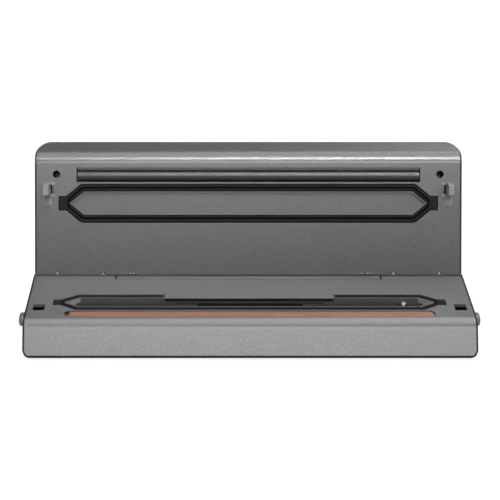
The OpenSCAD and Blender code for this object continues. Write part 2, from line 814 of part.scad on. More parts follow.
module drip_tray() {
  top = -tray_drop;
  low = -well_depth + fit_gap;
  color("#47494c") on_base() translate([0, -chamber_mid, 0]) difference() {
    union() {
      difference() {
        translate([0, 0, low]) linear_extrude(top - low) tray_outline(0);
        translate([0, 0, low + tray_wall]) linear_extrude(far) tray_outline(tray_wall);
      }
      // Blocks that locate the tray in front of the bag stop.
      box(-64, -45, tray_back - 4, tray_back, low, top);
      box(46, 65, tray_back - 4, tray_back, low, top);
    }
    // Notch around the suction port.
    translate([port_x, 0, 0]) box(-port_d / 2 - 0.9, port_d / 2 + 0.9, -3, far, -far, far);
  }
}

// One release button, for the right side: pill, guide flange.
module release_button() {
  color("#77797c") translate([casing_w / 2, -button_mid, -button_drop]) rotate([90, 0, 90]) {
    translate([0, 0, -rim - 1]) linear_extrude(rim + 1 + button_out - 1) round_slot(button_l, button_h);
    translate([0, 0, button_out - 1]) linear_extrude(1) round_slot(button_l - 1.4, button_h - 1.4);
    translate([0, 0, -rim - 1.1]) linear_extrude(0.9) round_slot(button_l + 3, button_h + 3);
  }
}

module release_button_right() { on_base() release_button(); }

module release_button_left() { on_base() mirror([1, 0, 0]) release_button(); }

// One latch catch, for the right side: a frame around the hook with a nose on its inner bar.
module latch_catch() {
  x0 = catch_nose_x - 6.4;
  color("#3b3d40") translate([0, 0, catch_z - catch_h / 2]) linear_extrude(catch_h) {
    translate([x0, -catch_front_d]) square([3, catch_front_d - catch_back_d]);
    translate([catch_out_x - 2, -catch_front_d]) square([2, catch_front_d - catch_back_d]);
    for (d = [catch_back_d + arm_w, catch_front_d]) translate([x0, -d]) square([catch_out_x - x0, arm_w]);
    polygon([
      [x0 + 3 - eps, -hook_d - nose_w / 2], [catch_nose_x, -hook_d - nose_w / 2],
      [catch_nose_x, -hook_d + nose_w / 2], [x0 + 3 - eps, -hook_d + nose_w / 2]
    ]);
  }
}

module latch_catch_right() { on_base() latch_catch(); }

module latch_catch_left() { on_base() mirror([1, 0, 0]) latch_catch(); }

// --- Lid ---

module lid_bosses(d, from, to) {
  for (p = lid_screw_spots) translate([p[0], -p[1], from]) cylinder(d = d, h = to - from);
}

module key_holes(g) {
  for (k = [0 : 3]) translate([key_x0 + key_step * k, -control_mid, lid_h - wall - 3])
    linear_extrude(far) square([key_w + g, key_l + g], center = true);
}

module lid_cover() {
  color("#2c2d2f") on_lid() difference() {
    union() {
      difference() {
        lid_body(0);
        lid_body(wall);
        // Only the moulding's own thickness is left out, so that the walls stay whole behind it.
        difference() {
          lid_panel_room();
          across(casing_w) lid_profile(panel_t);
        }
      }
      intersection() {
        lid_bosses(boss_d, lid_screw_reach, lid_h - 1);
        lid_body(0);
      }
      for (x = edge_screw_x)
        translate([x, -edge_screw_D, 0])
          box(-edge_post_w / 2, edge_post_w / 2, -3, 0.7, panel_t, edge_post_h);
      // Posts that carry the control board.
      for (x = [-1, 1], d = [-1, 1])
        translate([x * (control_w / 2 - 7), d * (control_l / 2 - 3) - control_mid, control_board_top])
          cylinder(d = 3.2, h = lid_h - 1 - control_board_top);
    }
    for (x = edge_screw_x) translate([x, -edge_screw_D, 0]) cylinder(d = edge_screw_d, h = 12);
    lid_bosses(screw_d - 0.4, -1, lid_h - 1.4);
    // Seat of the control panel and the holes under it.
    translate([0, -control_mid, lid_h - 1]) linear_extrude(5) round_slot(control_w + 0.2, control_l + 0.2);
    key_holes(2 * fit_gap);
    for (s = [-1, 1]) translate([s * ear_x, 0, 0]) box(-ear_slot, ear_slot, -ear_room, 1, -1, ear_notch);
  }
}

module lid_panel() {
  color("#6f7174") on_lid() difference() {
    union() {
      intersection() {
        across(casing_w) difference() {
          lid_profile(0);
          lid_profile(panel_t);
          // The moulding has no rear wall.
          translate([-lid_depth, panel_t]) square([far, far]);
          translate([-lid_edge, -far]) square([far, 2 * far]);
        }
        lid_panel_room();
        lid_plan(0);
      }
      translate([0, -lid_chamber_mid, 0]) linear_extrude(groove_depth + seat_wall) gasket_outline(seat_wall);
      translate([0, -lid_slot_mid, 0]) linear_extrude(bar_depth + seat_wall)
        square([2 * (bar_half + seat_wall) + 1, slot_w + 2 * seat_wall], center = true);
      lid_bosses(lid_hole_d + 3, 0.5, lid_screw_reach);
      for (s = [-1, 1]) translate([s * ear_x, -axis_D, axis_inset]) rotate([0, 90, 0])
        cylinder(r = knuckle_r, h = pin_len + 0.4, center = true);
    }
    for (x = edge_screw_x) {
      // Recess in the rear edge around each small screw.
      translate([x, 0, 0]) box(-edge_recess_w / 2, edge_recess_w / 2, -edge_screw_D - 0.9, 1, -1, 0.9);
      translate([x, -edge_screw_D, -1]) cylinder(d = edge_screw_d, h = far);
    }
    translate([0, -lid_chamber_mid, -5]) {
      linear_extrude(5 + groove_depth) difference() {
        gasket_outline(0);
        ring_outline(band_w);
      }
      linear_extrude(5 + lid_pocket_depth) ring_outline(pocket_inset);
    }
    translate([0, -lid_slot_mid, -1]) linear_extrude(1 + bar_depth)
      square([2 * bar_half + 0.8, slot_w], center = true);
    lid_bosses(screw_d + 0.4, -far, far);
    lid_bosses(lid_hole_d, -far, lid_screw_reach - 3);
    for (s = [-1, 1]) {
      translate([s * ear_x, 0, 0]) box(-ear_slot, ear_slot, -ear_room, 1, -far, ear_notch);
      translate([s * ear_x, -axis_D, axis_inset]) rotate([0, 90, 0])
        cylinder(d = pin_d, h = pin_len, center = true);
      // Seat of a latch hook's foot.
      translate([s * hook_x, -hook_D, 0])
        box(-hook_t / 2 - 1, hook_t / 2 + 1, -hook_w / 2, hook_w / 2 + 7.6, -1, far);
    }
  }
}

module lid_gasket() {
  color("#222325") on_lid() translate([0, -lid_chamber_mid, 0]) {
    translate([0, 0, 0.9]) linear_extrude(groove_depth - 0.9) difference() {
      gasket_outline(0);
      ring_outline(band_w);
    }
    for (i = [0.6, 4]) translate([0, 0, 0.15]) linear_extrude(groove_depth - 0.15) difference() {
      ring_outline(i);
      ring_outline(i + 2.2);
    }
    for (s = [-1, 1]) translate([s * (tab_half - 4), 0, 0.15]) linear_extrude(groove_depth - 0.15)
      square([6, tab_w - 2], center = true);
  }
}

module seal_bar() {
  color("#18191a") on_lid() translate([0, -lid_slot_mid, 0]) difference() {
    union() {
      translate([0, 0, -press_out + press_w / 2]) linear_extrude(bar_depth + press_out - press_w / 2)
        square([2 * bar_half, press_w], center = true);
      translate([-bar_half, 0, -press_out + press_w / 2]) rotate([0, 90, 0])
        cylinder(d = press_w, h = 2 * bar_half);
    }
    box(-far, far, -far, far, bar_depth, far);
  }
}

// One latch hook, for the right side: foot, blade and window.
module latch_hook() {
  color("#77797c") translate([hook_x, -hook_D, 0]) difference() {
    union() {
      box(-hook_t / 2 - 1, hook_t / 2 + 1, -hook_w / 2, hook_w / 2 + 7.6, 0, panel_t + 2);
      box(-hook_t / 2, hook_t / 2, -hook_w / 2, hook_w / 2, -hook_len, 1);
    }
    box(-far, far, -window_w / 2, window_w / 2, -window_low, window_h - window_low);
  }
}

module latch_hook_right() { on_lid() latch_hook(); }

module latch_hook_left() { on_lid() mirror([1, 0, 0]) latch_hook(); }

module hinge_pins() {
  color("#c4c6c8") on_lid() for (s = [-1, 1]) translate([s * ear_x, -axis_D, axis_inset])
    rotate([0, 90, 0]) cylinder(d = pin_d, h = pin_len, center = true);
}

module lid_screws() {
  color("#a9abad") on_lid() for (p = lid_screw_spots)
    translate([p[0], -p[1], lid_screw_reach - 4.6]) {
      cylinder(d = head_d, h = 1.6);
      cylinder(d = screw_d - 0.4, h = 4.6 + 2);
    }
  color("#a9abad") on_lid() for (x = edge_screw_x) translate([x, -edge_screw_D, 0.1]) {
    cylinder(d = edge_head_d, h = 0.8);
    cylinder(d = edge_screw_d, h = 11);
  }
}

module control_board() {
  color("#2f6b3d") on_lid() translate([0, -control_mid, control_board_top - 1.6]) linear_extrude(1.6)
    square([control_w - 10, control_l], center = true);
}

module control_window() {
  color("#0e0f10") on_lid() difference() {
    translate([0, -control_mid, lid_h - 1]) linear_extrude(1) round_slot(control_w, control_l);
    key_holes(2 * fit_gap);
  }
}

module indicator_leds() {
  color("#3fae5a") on_lid() for (k = [0 : 2])
    translate([key_x0 + key_step * 3 + 20 + 6 * k, -control_mid, control_board_top]) cylinder(d = 2, h = 1.2);
}

module key(k) {
  color("#8d9093") on_lid() translate([key_x0 + key_step * k, -control_mid, lid_h + key_out - key_body]) {
    linear_extrude(key_body) square([key_w, key_l], center = true);
    translate([0, 0, -key_flange]) linear_extrude(key_flange) square([key_w + 2, key_l + 2], center = true);
  }
}

module key_seal() { key(0); }

module key_vacuum() { key(1); }

module key_marinate() { key(2); }

module key_mode() { key(3); }

bottom_shell();
deck_panel();
base_gasket();
heater_bar();
heating_wire();
heater_tape();
heater_terminals();
suction_port();
vacuum_hose();
pump_motor();
pump_bracket();
pump_crank();
pump_head();
release_valve();
main_board();
board_components();
transformer();
pressure_sensor();
power_inlet();
inlet_pins();
rubber_feet();
base_screws();
lid_switches();
drip_tray();
release_button_left();
release_button_right();
latch_catch_left();
latch_catch_right();
lid_cover();
lid_panel();
lid_gasket();
seal_bar();
latch_hook_left();
latch_hook_right();
hinge_pins();
lid_screws();
control_board();
control_window();
indicator_leds();
key_seal();
key_vacuum();
key_marinate();
key_mode();
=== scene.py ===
import math

import bmesh
import bpy
from bpy.props import FloatProperty, FloatVectorProperty, PointerProperty
from bpy.types import NodeSocket, Operator, Panel, PropertyGroup
from mathutils import Matrix, Vector


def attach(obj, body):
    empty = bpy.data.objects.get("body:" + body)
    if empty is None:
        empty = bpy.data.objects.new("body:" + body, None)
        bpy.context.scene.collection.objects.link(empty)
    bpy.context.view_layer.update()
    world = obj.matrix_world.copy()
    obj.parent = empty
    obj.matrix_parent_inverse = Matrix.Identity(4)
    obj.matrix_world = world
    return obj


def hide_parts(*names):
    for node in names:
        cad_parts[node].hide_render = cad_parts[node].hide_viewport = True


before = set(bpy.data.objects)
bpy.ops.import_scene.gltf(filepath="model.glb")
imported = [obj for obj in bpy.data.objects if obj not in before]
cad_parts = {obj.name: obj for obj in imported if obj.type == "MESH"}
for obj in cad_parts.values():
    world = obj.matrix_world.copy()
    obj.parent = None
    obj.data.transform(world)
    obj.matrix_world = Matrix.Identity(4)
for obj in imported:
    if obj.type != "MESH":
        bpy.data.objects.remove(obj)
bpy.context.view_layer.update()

bl_info = {
    "name": "Vacuum Sealer",
    "version": (1, 0, 0),
    "blender": (4, 5, 0),
    "location": "3D View > Sidebar > Vacuum Sealer",
    "description": "Dresses an open vacuum sealer and lights it in a small studio",
    "category": "Object",
}

# The deck's rear edge and height, how far the lid stands open, and how far in front of that
# edge the planes of deck and lid meet.
CREASE_Y = 0.0298067
DECK_Z = 0.0313
LID_OPEN = math.radians(109.2)
LID_FORWARD = 0.00385

# Millimetres about the deck's rear edge, to metres in the frame. -Y runs away from the hinge.
# +Z is up from the deck, or from the lid's grey face to its back.
ON_BASE = Matrix.Translation((0, CREASE_Y, DECK_Z)) @ Matrix.Scale(0.001, 4)
ON_LID = (Matrix.Translation((0, CREASE_Y - LID_FORWARD, DECK_Z))
          @ Matrix.Rotation(-LID_OPEN, 4, "X") @ Matrix.Scale(0.001, 4))

# Everything from here to the settings is in millimetres. _MID, _FRONT and _D are distances
# from the hinge side, and _HALF is half a width.
HALF_W = 190.0
CLOSE_SHIFT = -0.472872
CHAMBER_MID = 65.8
LID_CHAMBER_MID = CHAMBER_MID + CLOSE_SHIFT - 1

# The gaskets: their ring's long runs and pointed ends, their groove, ridges and end tabs.
RING_HALF = 17.3
RING_STRAIGHT = 148.0
RING_POINT = 169.0
RING_ANGLE = math.atan(RING_HALF / (RING_POINT - RING_STRAIGHT))
BAND_W = 6.9
GROOVE_DEPTH = 6.0
RIDGES = ((0.45, 3.35), (4.25, 6.35))
RIDGE_TOP = 0.12
TAB_INNER = 168.0 - 7.6
TAB_OUTER = 168.0 - 0.3
TAB_REACH = 6.2

# The bag stop over the base gasket's rear run.
TONGUE_HALF = 72.6
TONGUE_FRONT = 57.4
TONGUE_T = 2.5

# The sealing slot, its tape, and the pressing bar over it.
SLOT_MID = 91.0
LID_SLOT_MID = SLOT_MID + CLOSE_SHIFT - 1.1
SLOT_HALF = 156.3
SLOT_W = 12.6
BAR_HALF = SLOT_HALF - 4.6
TAPE_HALF = 154.0
TAPE_SHIFT = 1.4
TAPE_TOP = -0.62
TAPE_T = 0.3

# Hooks and buttons.
HOOK_X = 177.5
HOOK_D = 75.4
HOOK_HALF = 4.9
HOOK_T = 2.3
HOOK_TIP = -20.0
BUTTON_MID = 76.0
BUTTON_DROP = 11.5
BUTTON_HALF_L = 7.5
BUTTON_HALF_H = 5.0

# Screws, feet and marks on the mouldings. Places are (x, distance from the hinge side).
LID_SCREWS = ((-169.7, 89.9), (169.7, 89.9))
LID_SCREW_Z = 16.0
LID_HOLE_R = 3.3
EDGE_SCREWS = tuple((x, 2.4) for x in (-169.2, -128.7, 128.7, 169.2))
EDGE_SCREW_Z = 0.1
BASE_SCREWS = ((-176.0, 12.0), (176.0, 12.0), (28.0, 8.0),
               (-170.0, 102.3), (170.0, 102.3), (0.0, 102.3))
BASE_SCREW_Z = -26.9
FEET = ((-150.0, 20.0), (150.0, 20.0), (-150.0, 92.0), (150.0, 92.0))
BASE_H = 29.3
FOOT_T = 2.0
STRIP_HALF = 117.0
EAR_X = 103.0
PORT = (132.0, CHAMBER_MID - 4)

# How near a face's middle lies to the wall that it belongs to.
NEAR = 0.05


# ---------------- sizes and colours


class MouldingSettings(PropertyGroup):
    """Dark casing and grey inner mouldings."""

    edge: FloatProperty(
        name="Edge", description="Rounding of the moulded edges", default=0.00045,
        min=0.0001, max=0.0008, unit="LENGTH")
    grey: FloatVectorProperty(
        name="Grey", description="Colour of the deck and lid mouldings", subtype="COLOR",
        default=(0.168, 0.170, 0.175), min=0, max=1)
    dark: FloatVectorProperty(
        name="Dark", description="Colour of the outer casing", subtype="COLOR",
        default=(0.009, 0.0092, 0.0098), min=0, max=1)
    # Painted shade: the recesses colour darkens the walls inside slots, gaps and screw holes,
    # where shade falls.
    deep: FloatVectorProperty(
        name="Recesses", description="Colour of the walls inside slots and screw holes",
        subtype="COLOR", default=(0.012, 0.012, 0.013), min=0, max=1)
    grain: FloatProperty(
        name="Grain", description="Fine grains per metre in the grey finish", default=1500.0,
        min=200, max=4000)


class SealSettings(PropertyGroup):
    """Gaskets and pressing bar."""

    foam: FloatVectorProperty(
        name="Foam", description="Colour of the gaskets", subtype="COLOR",
        default=(0.010, 0.010, 0.011), min=0, max=1)
    corner: FloatProperty(
        name="Corner radius", default=6.0, min=4.6, max=9,
        description="Radius of the gaskets' corners on the middle line, in millimetres")
    ridge: FloatProperty(
        name="Groove depth", default=2.6, min=1.2, max=4.0,
        description="Depth of the grooves beside the sealing ridges, in millimetres")
    silicone: FloatVectorProperty(
        name="Silicone", description="Colour of the pressing bar", subtype="COLOR",
        default=(0.014, 0.014, 0.015), min=0, max=1)


class HeaterSettings(PropertyGroup):
    """Sealing strip."""

    tape: FloatVectorProperty(
        name="Tape", description="Colour of the coated glass cloth over the wire",
        subtype="COLOR", default=(0.29, 0.135, 0.074), min=0, max=1)
    weave: FloatProperty(
        name="Weave", description="Distance between the threads of the cloth",
        default=0.0007, min=0.0003, max=0.002, unit="LENGTH")


class FittingSettings(PropertyGroup):
    """Hooks, buttons, tray and metal parts."""

    plastic: FloatVectorProperty(
        name="Plastic", description="Colour of hooks and buttons", subtype="COLOR",
        default=(0.17, 0.173, 0.178), min=0, max=1)
    tray: FloatVectorProperty(
        name="Tray", description="Colour of the drip tray", subtype="COLOR",
        default=(0.062, 0.064, 0.068), min=0, max=1)
    steel: FloatVectorProperty(
        name="Steel", description="Colour of bare steel", subtype="COLOR",
        default=(0.62, 0.63, 0.64), min=0, max=1)


class StageSettings(PropertyGroup):
    """Camera and lamps."""

    eye: FloatVectorProperty(
        name="Camera", description="Place of the camera", subtype="XYZ", unit="LENGTH",
        default=(-0.0277, -1.4870, 0.6214))
    pitch: FloatProperty(
        name="Pitch", description="Turn of the camera up from straight down",
        subtype="ANGLE", unit="ROTATION", default=math.radians(69.5))
    lens: FloatProperty(
        name="Lens", description="Focal length in millimetres", default=131.9,
        min=20, max=400)
    shift: FloatProperty(
        name="Shift", description="Sideways shift of the lens", default=0.066, min=-1, max=1)
    front: FloatProperty(
        name="Front softbox", description="Power of the softbox above the camera",
        default=10.0, min=0, unit="POWER")
    top: FloatProperty(
        name="Top softbox", description="Power of the softbox overhead", default=22.0,
        min=0, unit="POWER")
    nose: FloatProperty(
        name="Nose lamp", description="Power of the narrow lamp over the lid's nose",
        default=0.34, min=0, unit="POWER")
    world: FloatProperty(
        name="Room light", description="Strength of the light from all around",
        default=0.16, min=0, max=2)


class SealerSettings(PropertyGroup):
    """All settings of the vacuum sealer."""

    moulding: PointerProperty(type=MouldingSettings)
    seal: PointerProperty(type=SealSettings)
    heater: PointerProperty(type=HeaterSettings)
    fitting: PointerProperty(type=FittingSettings)
    stage: PointerProperty(type=StageSettings)


# ---------------- node trees


def add(tree, kind, feeds=None, **settings):
    """Adds a node; feeds gives its inputs values, other nodes' outputs, or lists of them."""
    made = tree.nodes.new(kind)
    for key, value in settings.items():
        setattr(made, key, value)
    for key, value in (feeds or {}).items():
        for part in value if isinstance(value, list) else [value]:
            if isinstance(part, NodeSocket):
                tree.links.new(part, made.inputs[key])
            else:
                made.inputs[key].default_value = part
    return made


def output(tree, kind, feeds=None, **settings):
    """Adds a node and returns its first output."""
    return add(tree, kind, feeds, **settings).outputs[0]


def maths(tree, operation, a, b=0.0):
    """One Math node's output."""
    return output(tree, "ShaderNodeMath", {0: a, 1: b}, operation=operation)


def plus(tree, a, b):
    return maths(tree, "ADD", a, b)


def times(tree, a, b):
    return maths(tree, "MULTIPLY", a, b)


def sine(tree, value, rate):
    return maths(tree, "SINE", times(tree, value, rate))


def span(tree, value, low, high, to_low, to_high):
    """A Map Range node's output."""
    feeds = {"Value": value, "From Min": low, "From Max": high,
             "To Min": to_low, "To Max": to_high}
    return output(tree, "ShaderNodeMapRange", feeds)


def between(tree, factor, a, b):
    """Colour a blended into colour b."""
    a, b = (c if isinstance(c, NodeSocket) else (*c, 1) for c in (a, b))
    return add(tree, "ShaderNodeMix", {0: factor, 6: a, 7: b}, data_type="RGBA").outputs[2]


def shade(colour, level):
    """A colour made lighter or darker."""
    return tuple(min(1.0, c * level) for c in colour)


def tones(tree, factor, colour, low, high):
    """One shade of a colour blended into another."""
    return between(tree, factor, shade(colour, low), shade(colour, high))


def new_finish(name, rough, metallic=0.0, **sockets):
    """An empty finish: its material, tree and shader, and the object coordinates."""
    mat = bpy.data.materials.new(name)
    mat.use_nodes = True
    tree = mat.node_tree
    tree.nodes.clear()
    shader = add(tree, "ShaderNodeBsdfPrincipled", {"Roughness": rough, "Metallic": metallic})
    for key, value in sockets.items():
        shader.inputs[key.replace("_", " ")].default_value = value
    out = add(tree, "ShaderNodeOutputMaterial")
    tree.links.new(shader.outputs[0], out.inputs[0])
    where = add(tree, "ShaderNodeTexCoord").outputs["Object"]
    return mat, tree, shader, where


def paint(tree, shader, colour, rough=None):
    """Links a colour, and a roughness if there is one, to the shader."""
    tree.links.new(colour, shader.inputs["Base Color"])
    if rough is not None:
        tree.links.new(rough, shader.inputs["Roughness"])


def noise(tree, where, scale, detail=2.0, rough=0.5):
    """Smooth noise, so many grains per metre."""
    return output(tree, "ShaderNodeTexNoise", {"Vector": where, "Scale": scale,
                                               "Detail": detail, "Roughness": rough})


def cells(tree, where, scale, **settings):
    """A Voronoi texture's outputs."""
    feeds = {"Vector": where, "Scale": scale}
    return add(tree, "ShaderNodeTexVoronoi", feeds, **settings).outputs


def relief(tree, shader, height, depth):
    """Raises the surface by height, depth metres at most."""
    feeds = {"Height": height, "Distance": depth, "Strength": 1.0}
    tree.links.new(output(tree, "ShaderNodeBump", feeds), shader.inputs["Normal"])


def plain_finish(name, colour, rough=0.5, grain=1200.0, tone=0.08, depth=0.00004, patch=0.05,
                 **sockets):
    """Fine grain, slow changes of tone and gloss, and a little relief."""
    mat, tree, shader, where = new_finish(name, rough, **sockets)
    fine = noise(tree, where, grain, 3, 0.6)
    slow = noise(tree, where, 14, 2)
    mixed = plus(tree, times(tree, fine, 0.75), times(tree, slow, 0.25))
    factor = span(tree, mixed, 0.32, 0.68, 0, 1)
    paint(tree, shader, tones(tree, factor, colour, 1 - tone, 1 + tone),
          span(tree, slow, 0.3, 0.7, rough - patch, rough + patch))
    relief(tree, shader, fine, depth)
    return mat


def sparkle_finish(name, colour, rough, grain, metallic, tone=0.10, fleck=0.22):
    """Grained satin plastic with small bright flecks in it."""
    mat, tree, shader, where = new_finish(name, rough, metallic)
    fine = noise(tree, where, grain, 4, 0.65)
    coarse = noise(tree, where, grain * 0.36, 2)
    slow = noise(tree, where, 9, 2)
    chance = output(tree, "ShaderNodeSeparateColor",
                    {0: cells(tree, where, grain * 0.8)["Color"]})
    lit = span(tree, chance, 0.9, 1.0, 0, fleck)
    mixed = plus(tree, times(tree, fine, 0.6), times(tree, coarse, 0.4))
    factor = span(tree, mixed, 0.34, 0.66, 0, 1)
    ground = tones(tree, factor, colour, 1 - tone, 1 + tone)
    paint(tree, shader, between(tree, lit, ground, shade(colour, 2.1)),
          span(tree, slow, 0.3, 0.7, rough - 0.006, rough + 0.006))
    relief(tree, shader, plus(tree, fine, times(tree, coarse, 0.8)), 0.00009)
    return mat


def foam_finish(name, colour):
    """Closed-cell foam: matt, with small open pores."""
    mat, tree, shader, where = new_finish(name, 0.75, Specular_IOR_Level=0.1)
    pores = cells(tree, where, 1900.0)["Distance"]
    fine = noise(tree, where, 700, 3)
    paint(tree, shader, tones(tree, span(tree, pores, 0.1, 0.5, 0, 1), colour, 0.5, 1.5))
    relief(tree, shader, plus(tree, pores, fine), 0.00008)
    return mat


def cloth_finish(name, colour, pitch):
    """Coated glass cloth: two crossing sets of threads."""
    mat, tree, shader, where = new_finish(name, 0.42, 0.15, Specular_IOR_Level=0.6)
    rate = 2 * math.pi / pitch
    axes = add(tree, "ShaderNodeSeparateXYZ", {0: where}).outputs
    crossed = times(tree, sine(tree, axes[0], rate), sine(tree, axes[1], rate))
    weave = span(tree, crossed, -1, 1, 0, 1)
    slow = noise(tree, where, 60, 4, 0.7)
    base = tones(tree, weave, colour, 0.72, 1.12)
    worn = span(tree, slow, 0.35, 0.7, 0, 0.55)
    paint(tree, shader, between(tree, worn, base, shade(colour, 1.45)),
          span(tree, slow, 0.3, 0.7, 0.36, 0.5))
    relief(tree, shader, plus(tree, weave, slow), 0.00007)
    return mat


def metal_finish(name, colour, rough, brush=(1, 1, 1)):
    """Bare or plated metal; brush draws its marks out along one axis."""
    mat, tree, shader, where = new_finish(name, rough, 1.0)
    drawn = output(tree, "ShaderNodeMapping", {0: where, "Scale": brush})
    marks = noise(tree, drawn, 900.0, 3, 0.6)
    slow = noise(tree, where, 120, 2)
    paint(tree, shader, tones(tree, span(tree, marks, 0.3, 0.7, 0, 1), colour, 0.86, 1.08),
          span(tree, slow, 0.3, 0.7, rough * 0.8, rough * 1.25))
    relief(tree, shader, marks, 0.00001)
    return mat


def board_finish(name, colour):
    """Lacquered circuit board with tracks and pads."""
    mat, tree, shader, where = new_finish(name, 0.28, Specular_IOR_Level=0.6)
    line = span(tree, cells(tree, where, 260.0, distance="CHEBYCHEV")[0], 0.34, 0.36, 0, 1)
    pad = span(tree, cells(tree, where, 180.0)[0], 0.14, 0.12, 0, 1)
    lacquer = between(tree, line, colour, shade(colour, 1.7))
    paint(tree, shader, between(tree, pad, lacquer, (0.55, 0.52, 0.44)))
    relief(tree, shader, line, 0.00004)
    return mat


def coil_finish(name, core, wire):
    """Laminated core with a wound coil above it."""
    mat, tree, shader, where = new_finish(name, 0.45, 0.3)
    axes = add(tree, "ShaderNodeSeparateXYZ", {0: where}).outputs
    upper = span(tree, axes[2], 0.0084, 0.0086, 0, 1)
    leaves = span(tree, sine(tree, axes[1], 6283.0), -0.2, 0.2, 0, 1)
    turns = span(tree, sine(tree, axes[2], 9000.0), -1, 1, 0, 1)
    low = between(tree, leaves, shade(core, 0.6), core)
    high = between(tree, turns, shade(wire, 0.6), wire)
    paint(tree, shader, between(tree, upper, low, high))
    relief(tree, shader, plus(tree, leaves, turns), 0.0001)
    return mat


# ---------------- objects and meshes


def new_object(name, data):
    """An object in the scene."""
    obj = bpy.data.objects.new(name, data)
    bpy.context.scene.collection.objects.link(obj)
    return obj


def drop(obj):
    """Takes an object and its mesh away."""
    mesh = obj.data
    bpy.data.objects.remove(obj)
    bpy.data.meshes.remove(mesh)


def show(name, mesh, body, slot, finish, *nodes):
    """Puts a finished mesh in the scene, on its body, in place of the named nodes."""
    mesh.name = name
    obj = new_object(name, mesh)
    if finish:
        mesh.materials.clear()
        mesh.materials.append(finish)
    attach(obj, body)
    if nodes:
        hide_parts(*nodes)
    return obj


def wear(finish, *nodes):
    """Gives CAD nodes that stay in view their finish."""
    for name in nodes:
        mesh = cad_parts[name].data
        mesh.materials.clear()
        mesh.materials.append(finish)


def joined(*meshes, weld=0.0):
    """One bmesh of plain meshes; points nearer than weld become one."""
    bm = bmesh.new()
    for mesh in meshes:
        bm.from_mesh(mesh)
    if weld:
        bmesh.ops.remove_doubles(bm, verts=bm.verts, dist=weld)
    return bm


def welded(node):
    """A bmesh of a CAD node with its triangles joined to whole faces."""
    nearest = 2e-6
    bm = joined(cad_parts[node].data, weld=nearest)
    bmesh.ops.dissolve_degenerate(bm, dist=nearest, edges=bm.edges)
    bmesh.ops.dissolve_limit(bm, angle_limit=math.radians(0.6), verts=bm.verts,
                             edges=bm.edges)
    return bm


def to_mesh(bm, place=None, smooth=True, turn=True):
    """A mesh of the bmesh, put in place; turn points its faces outwards."""
    if place is not None:
        bmesh.ops.transform(bm, matrix=place, verts=bm.verts)
    if turn:
        bmesh.ops.recalc_face_normals(bm, faces=bm.faces)
    for face in bm.faces:
        face.smooth = smooth
    mesh = bpy.data.meshes.new("piece")
    bm.to_mesh(mesh)
    bm.free()
    return mesh


def bevelled(obj, width, segments=2, angle=32):
    """Rounds the sharp edges of a piece."""
    mod = obj.modifiers.new("edges", "BEVEL")
    mod.width = width
    mod.segments = segments
    mod.limit_method = "ANGLE"
    mod.angle_limit = math.radians(angle)
    mod.miter_outer = "MITER_ARC"
    even = obj.modifiers.new("even", "WEIGHTED_NORMAL")
    even.mode, even.weight = "FACE_AREA", 80


def baked(obj, place=None):
    """The object's mesh with its modifiers applied, put in place; the object goes."""
    bpy.context.view_layer.update()
    graph = bpy.context.evaluated_depsgraph_get()
    mesh = bpy.data.meshes.new_from_object(obj.evaluated_get(graph))
    if place is not None:
        mesh.transform(place)
    drop(obj)
    return mesh


def rounded_node(node, name, body, slot, finish, width, segments=2):
    """A welded copy of a CAD node with rounded edges, in its place."""
    obj = show(name, to_mesh(welded(node), turn=False), body, slot, finish, node)
    bevelled(obj, width, segments)
    return obj


def shadow(obj, finish, place, within):
    """Gives another finish to faces whose middle, in the place's millimetres, is within."""
    index, home = len(obj.data.materials), place.inverted()
    obj.data.materials.append(finish)
    for face in obj.data.polygons:
        if within(home @ face.center):
            face.material_index = index


def block(bm, x, y, z, width=0.0):
    """Adds a box by its limits, with rounded edges."""
    size = [high - low for low, high in (x, y, z)]
    middle = [(low + high) / 2 for low, high in (x, y, z)]
    place = Matrix.Translation(middle) @ Matrix.Diagonal((*size, 1))
    made = bmesh.ops.create_cube(bm, size=1, matrix=place)
    if width:
        edges = list({edge for vert in made["verts"] for edge in vert.link_edges})
        bmesh.ops.bevel(bm, geom=edges, offset=width, segments=3, affect="EDGES", profile=0.5)


def skin(bm, loops):
    """Adds faces from each closed loop of points to the next."""
    for low, high in zip(loops, loops[1:]):
        for k in range(len(low)):
            after = (k + 1) % len(low)
            bm.faces.new((low[k], low[after], high[after], high[k]))


def lathe(bm, outline, steps=48):
    """Adds a turned shape: outline gives its (radius, height) points, all the way round."""
    turns = [2 * math.pi * k / steps for k in range(steps)]
    rings = [[bm.verts.new((radius * math.cos(turn), radius * math.sin(turn), height))
              for turn in turns] for radius, height in outline]
    skin(bm, rings + rings[:1])


def slab(bm, outline, low, high):
    """Adds a slab along X: outline gives its (y, z) points."""
    ends = [[bm.verts.new((x, y, z)) for y, z in outline] for x in (low, high)]
    skin(bm, ends)
    bm.faces.new(ends[0])
    bm.faces.new(tuple(reversed(ends[1])))


def cut(bm, tool):
    """The mesh of one bmesh with another taken away."""
    pair = []
    for part in (bm, tool):
        bmesh.ops.recalc_face_normals(part, faces=part.faces)
        mesh = bpy.data.meshes.new("part")
        part.to_mesh(mesh)
        part.free()
        pair.append(new_object("part", mesh))
    mod = pair[0].modifiers.new("cut", "BOOLEAN")
    mod.operation, mod.object, mod.solver = "DIFFERENCE", pair[1], "EXACT"
    mesh = baked(pair[0])
    drop(pair[1])
    return mesh


# ---------------- repeated and swept shapes


def geometry_tree(name, numbers):
    """A geometry tree with named number inputs: the tree, its inputs, and its output node."""
    tree = bpy.data.node_groups.new(name, "GeometryNodeTree")
    face = tree.interface
    face.new_socket("Geometry", in_out="INPUT", socket_type="NodeSocketGeometry")
    for label, value in numbers.items():
        kind = "NodeSocketInt" if isinstance(value, int) else "NodeSocketFloat"
        face.new_socket(label, in_out="INPUT", socket_type=kind).default_value = value
    face.new_socket("Finish", in_out="INPUT", socket_type="NodeSocketMaterial")
    face.new_socket("Geometry", in_out="OUTPUT", socket_type="NodeSocketGeometry")
    start = tree.nodes.new("NodeGroupInput")
    return tree, start.outputs, tree.nodes.new("NodeGroupOutput")


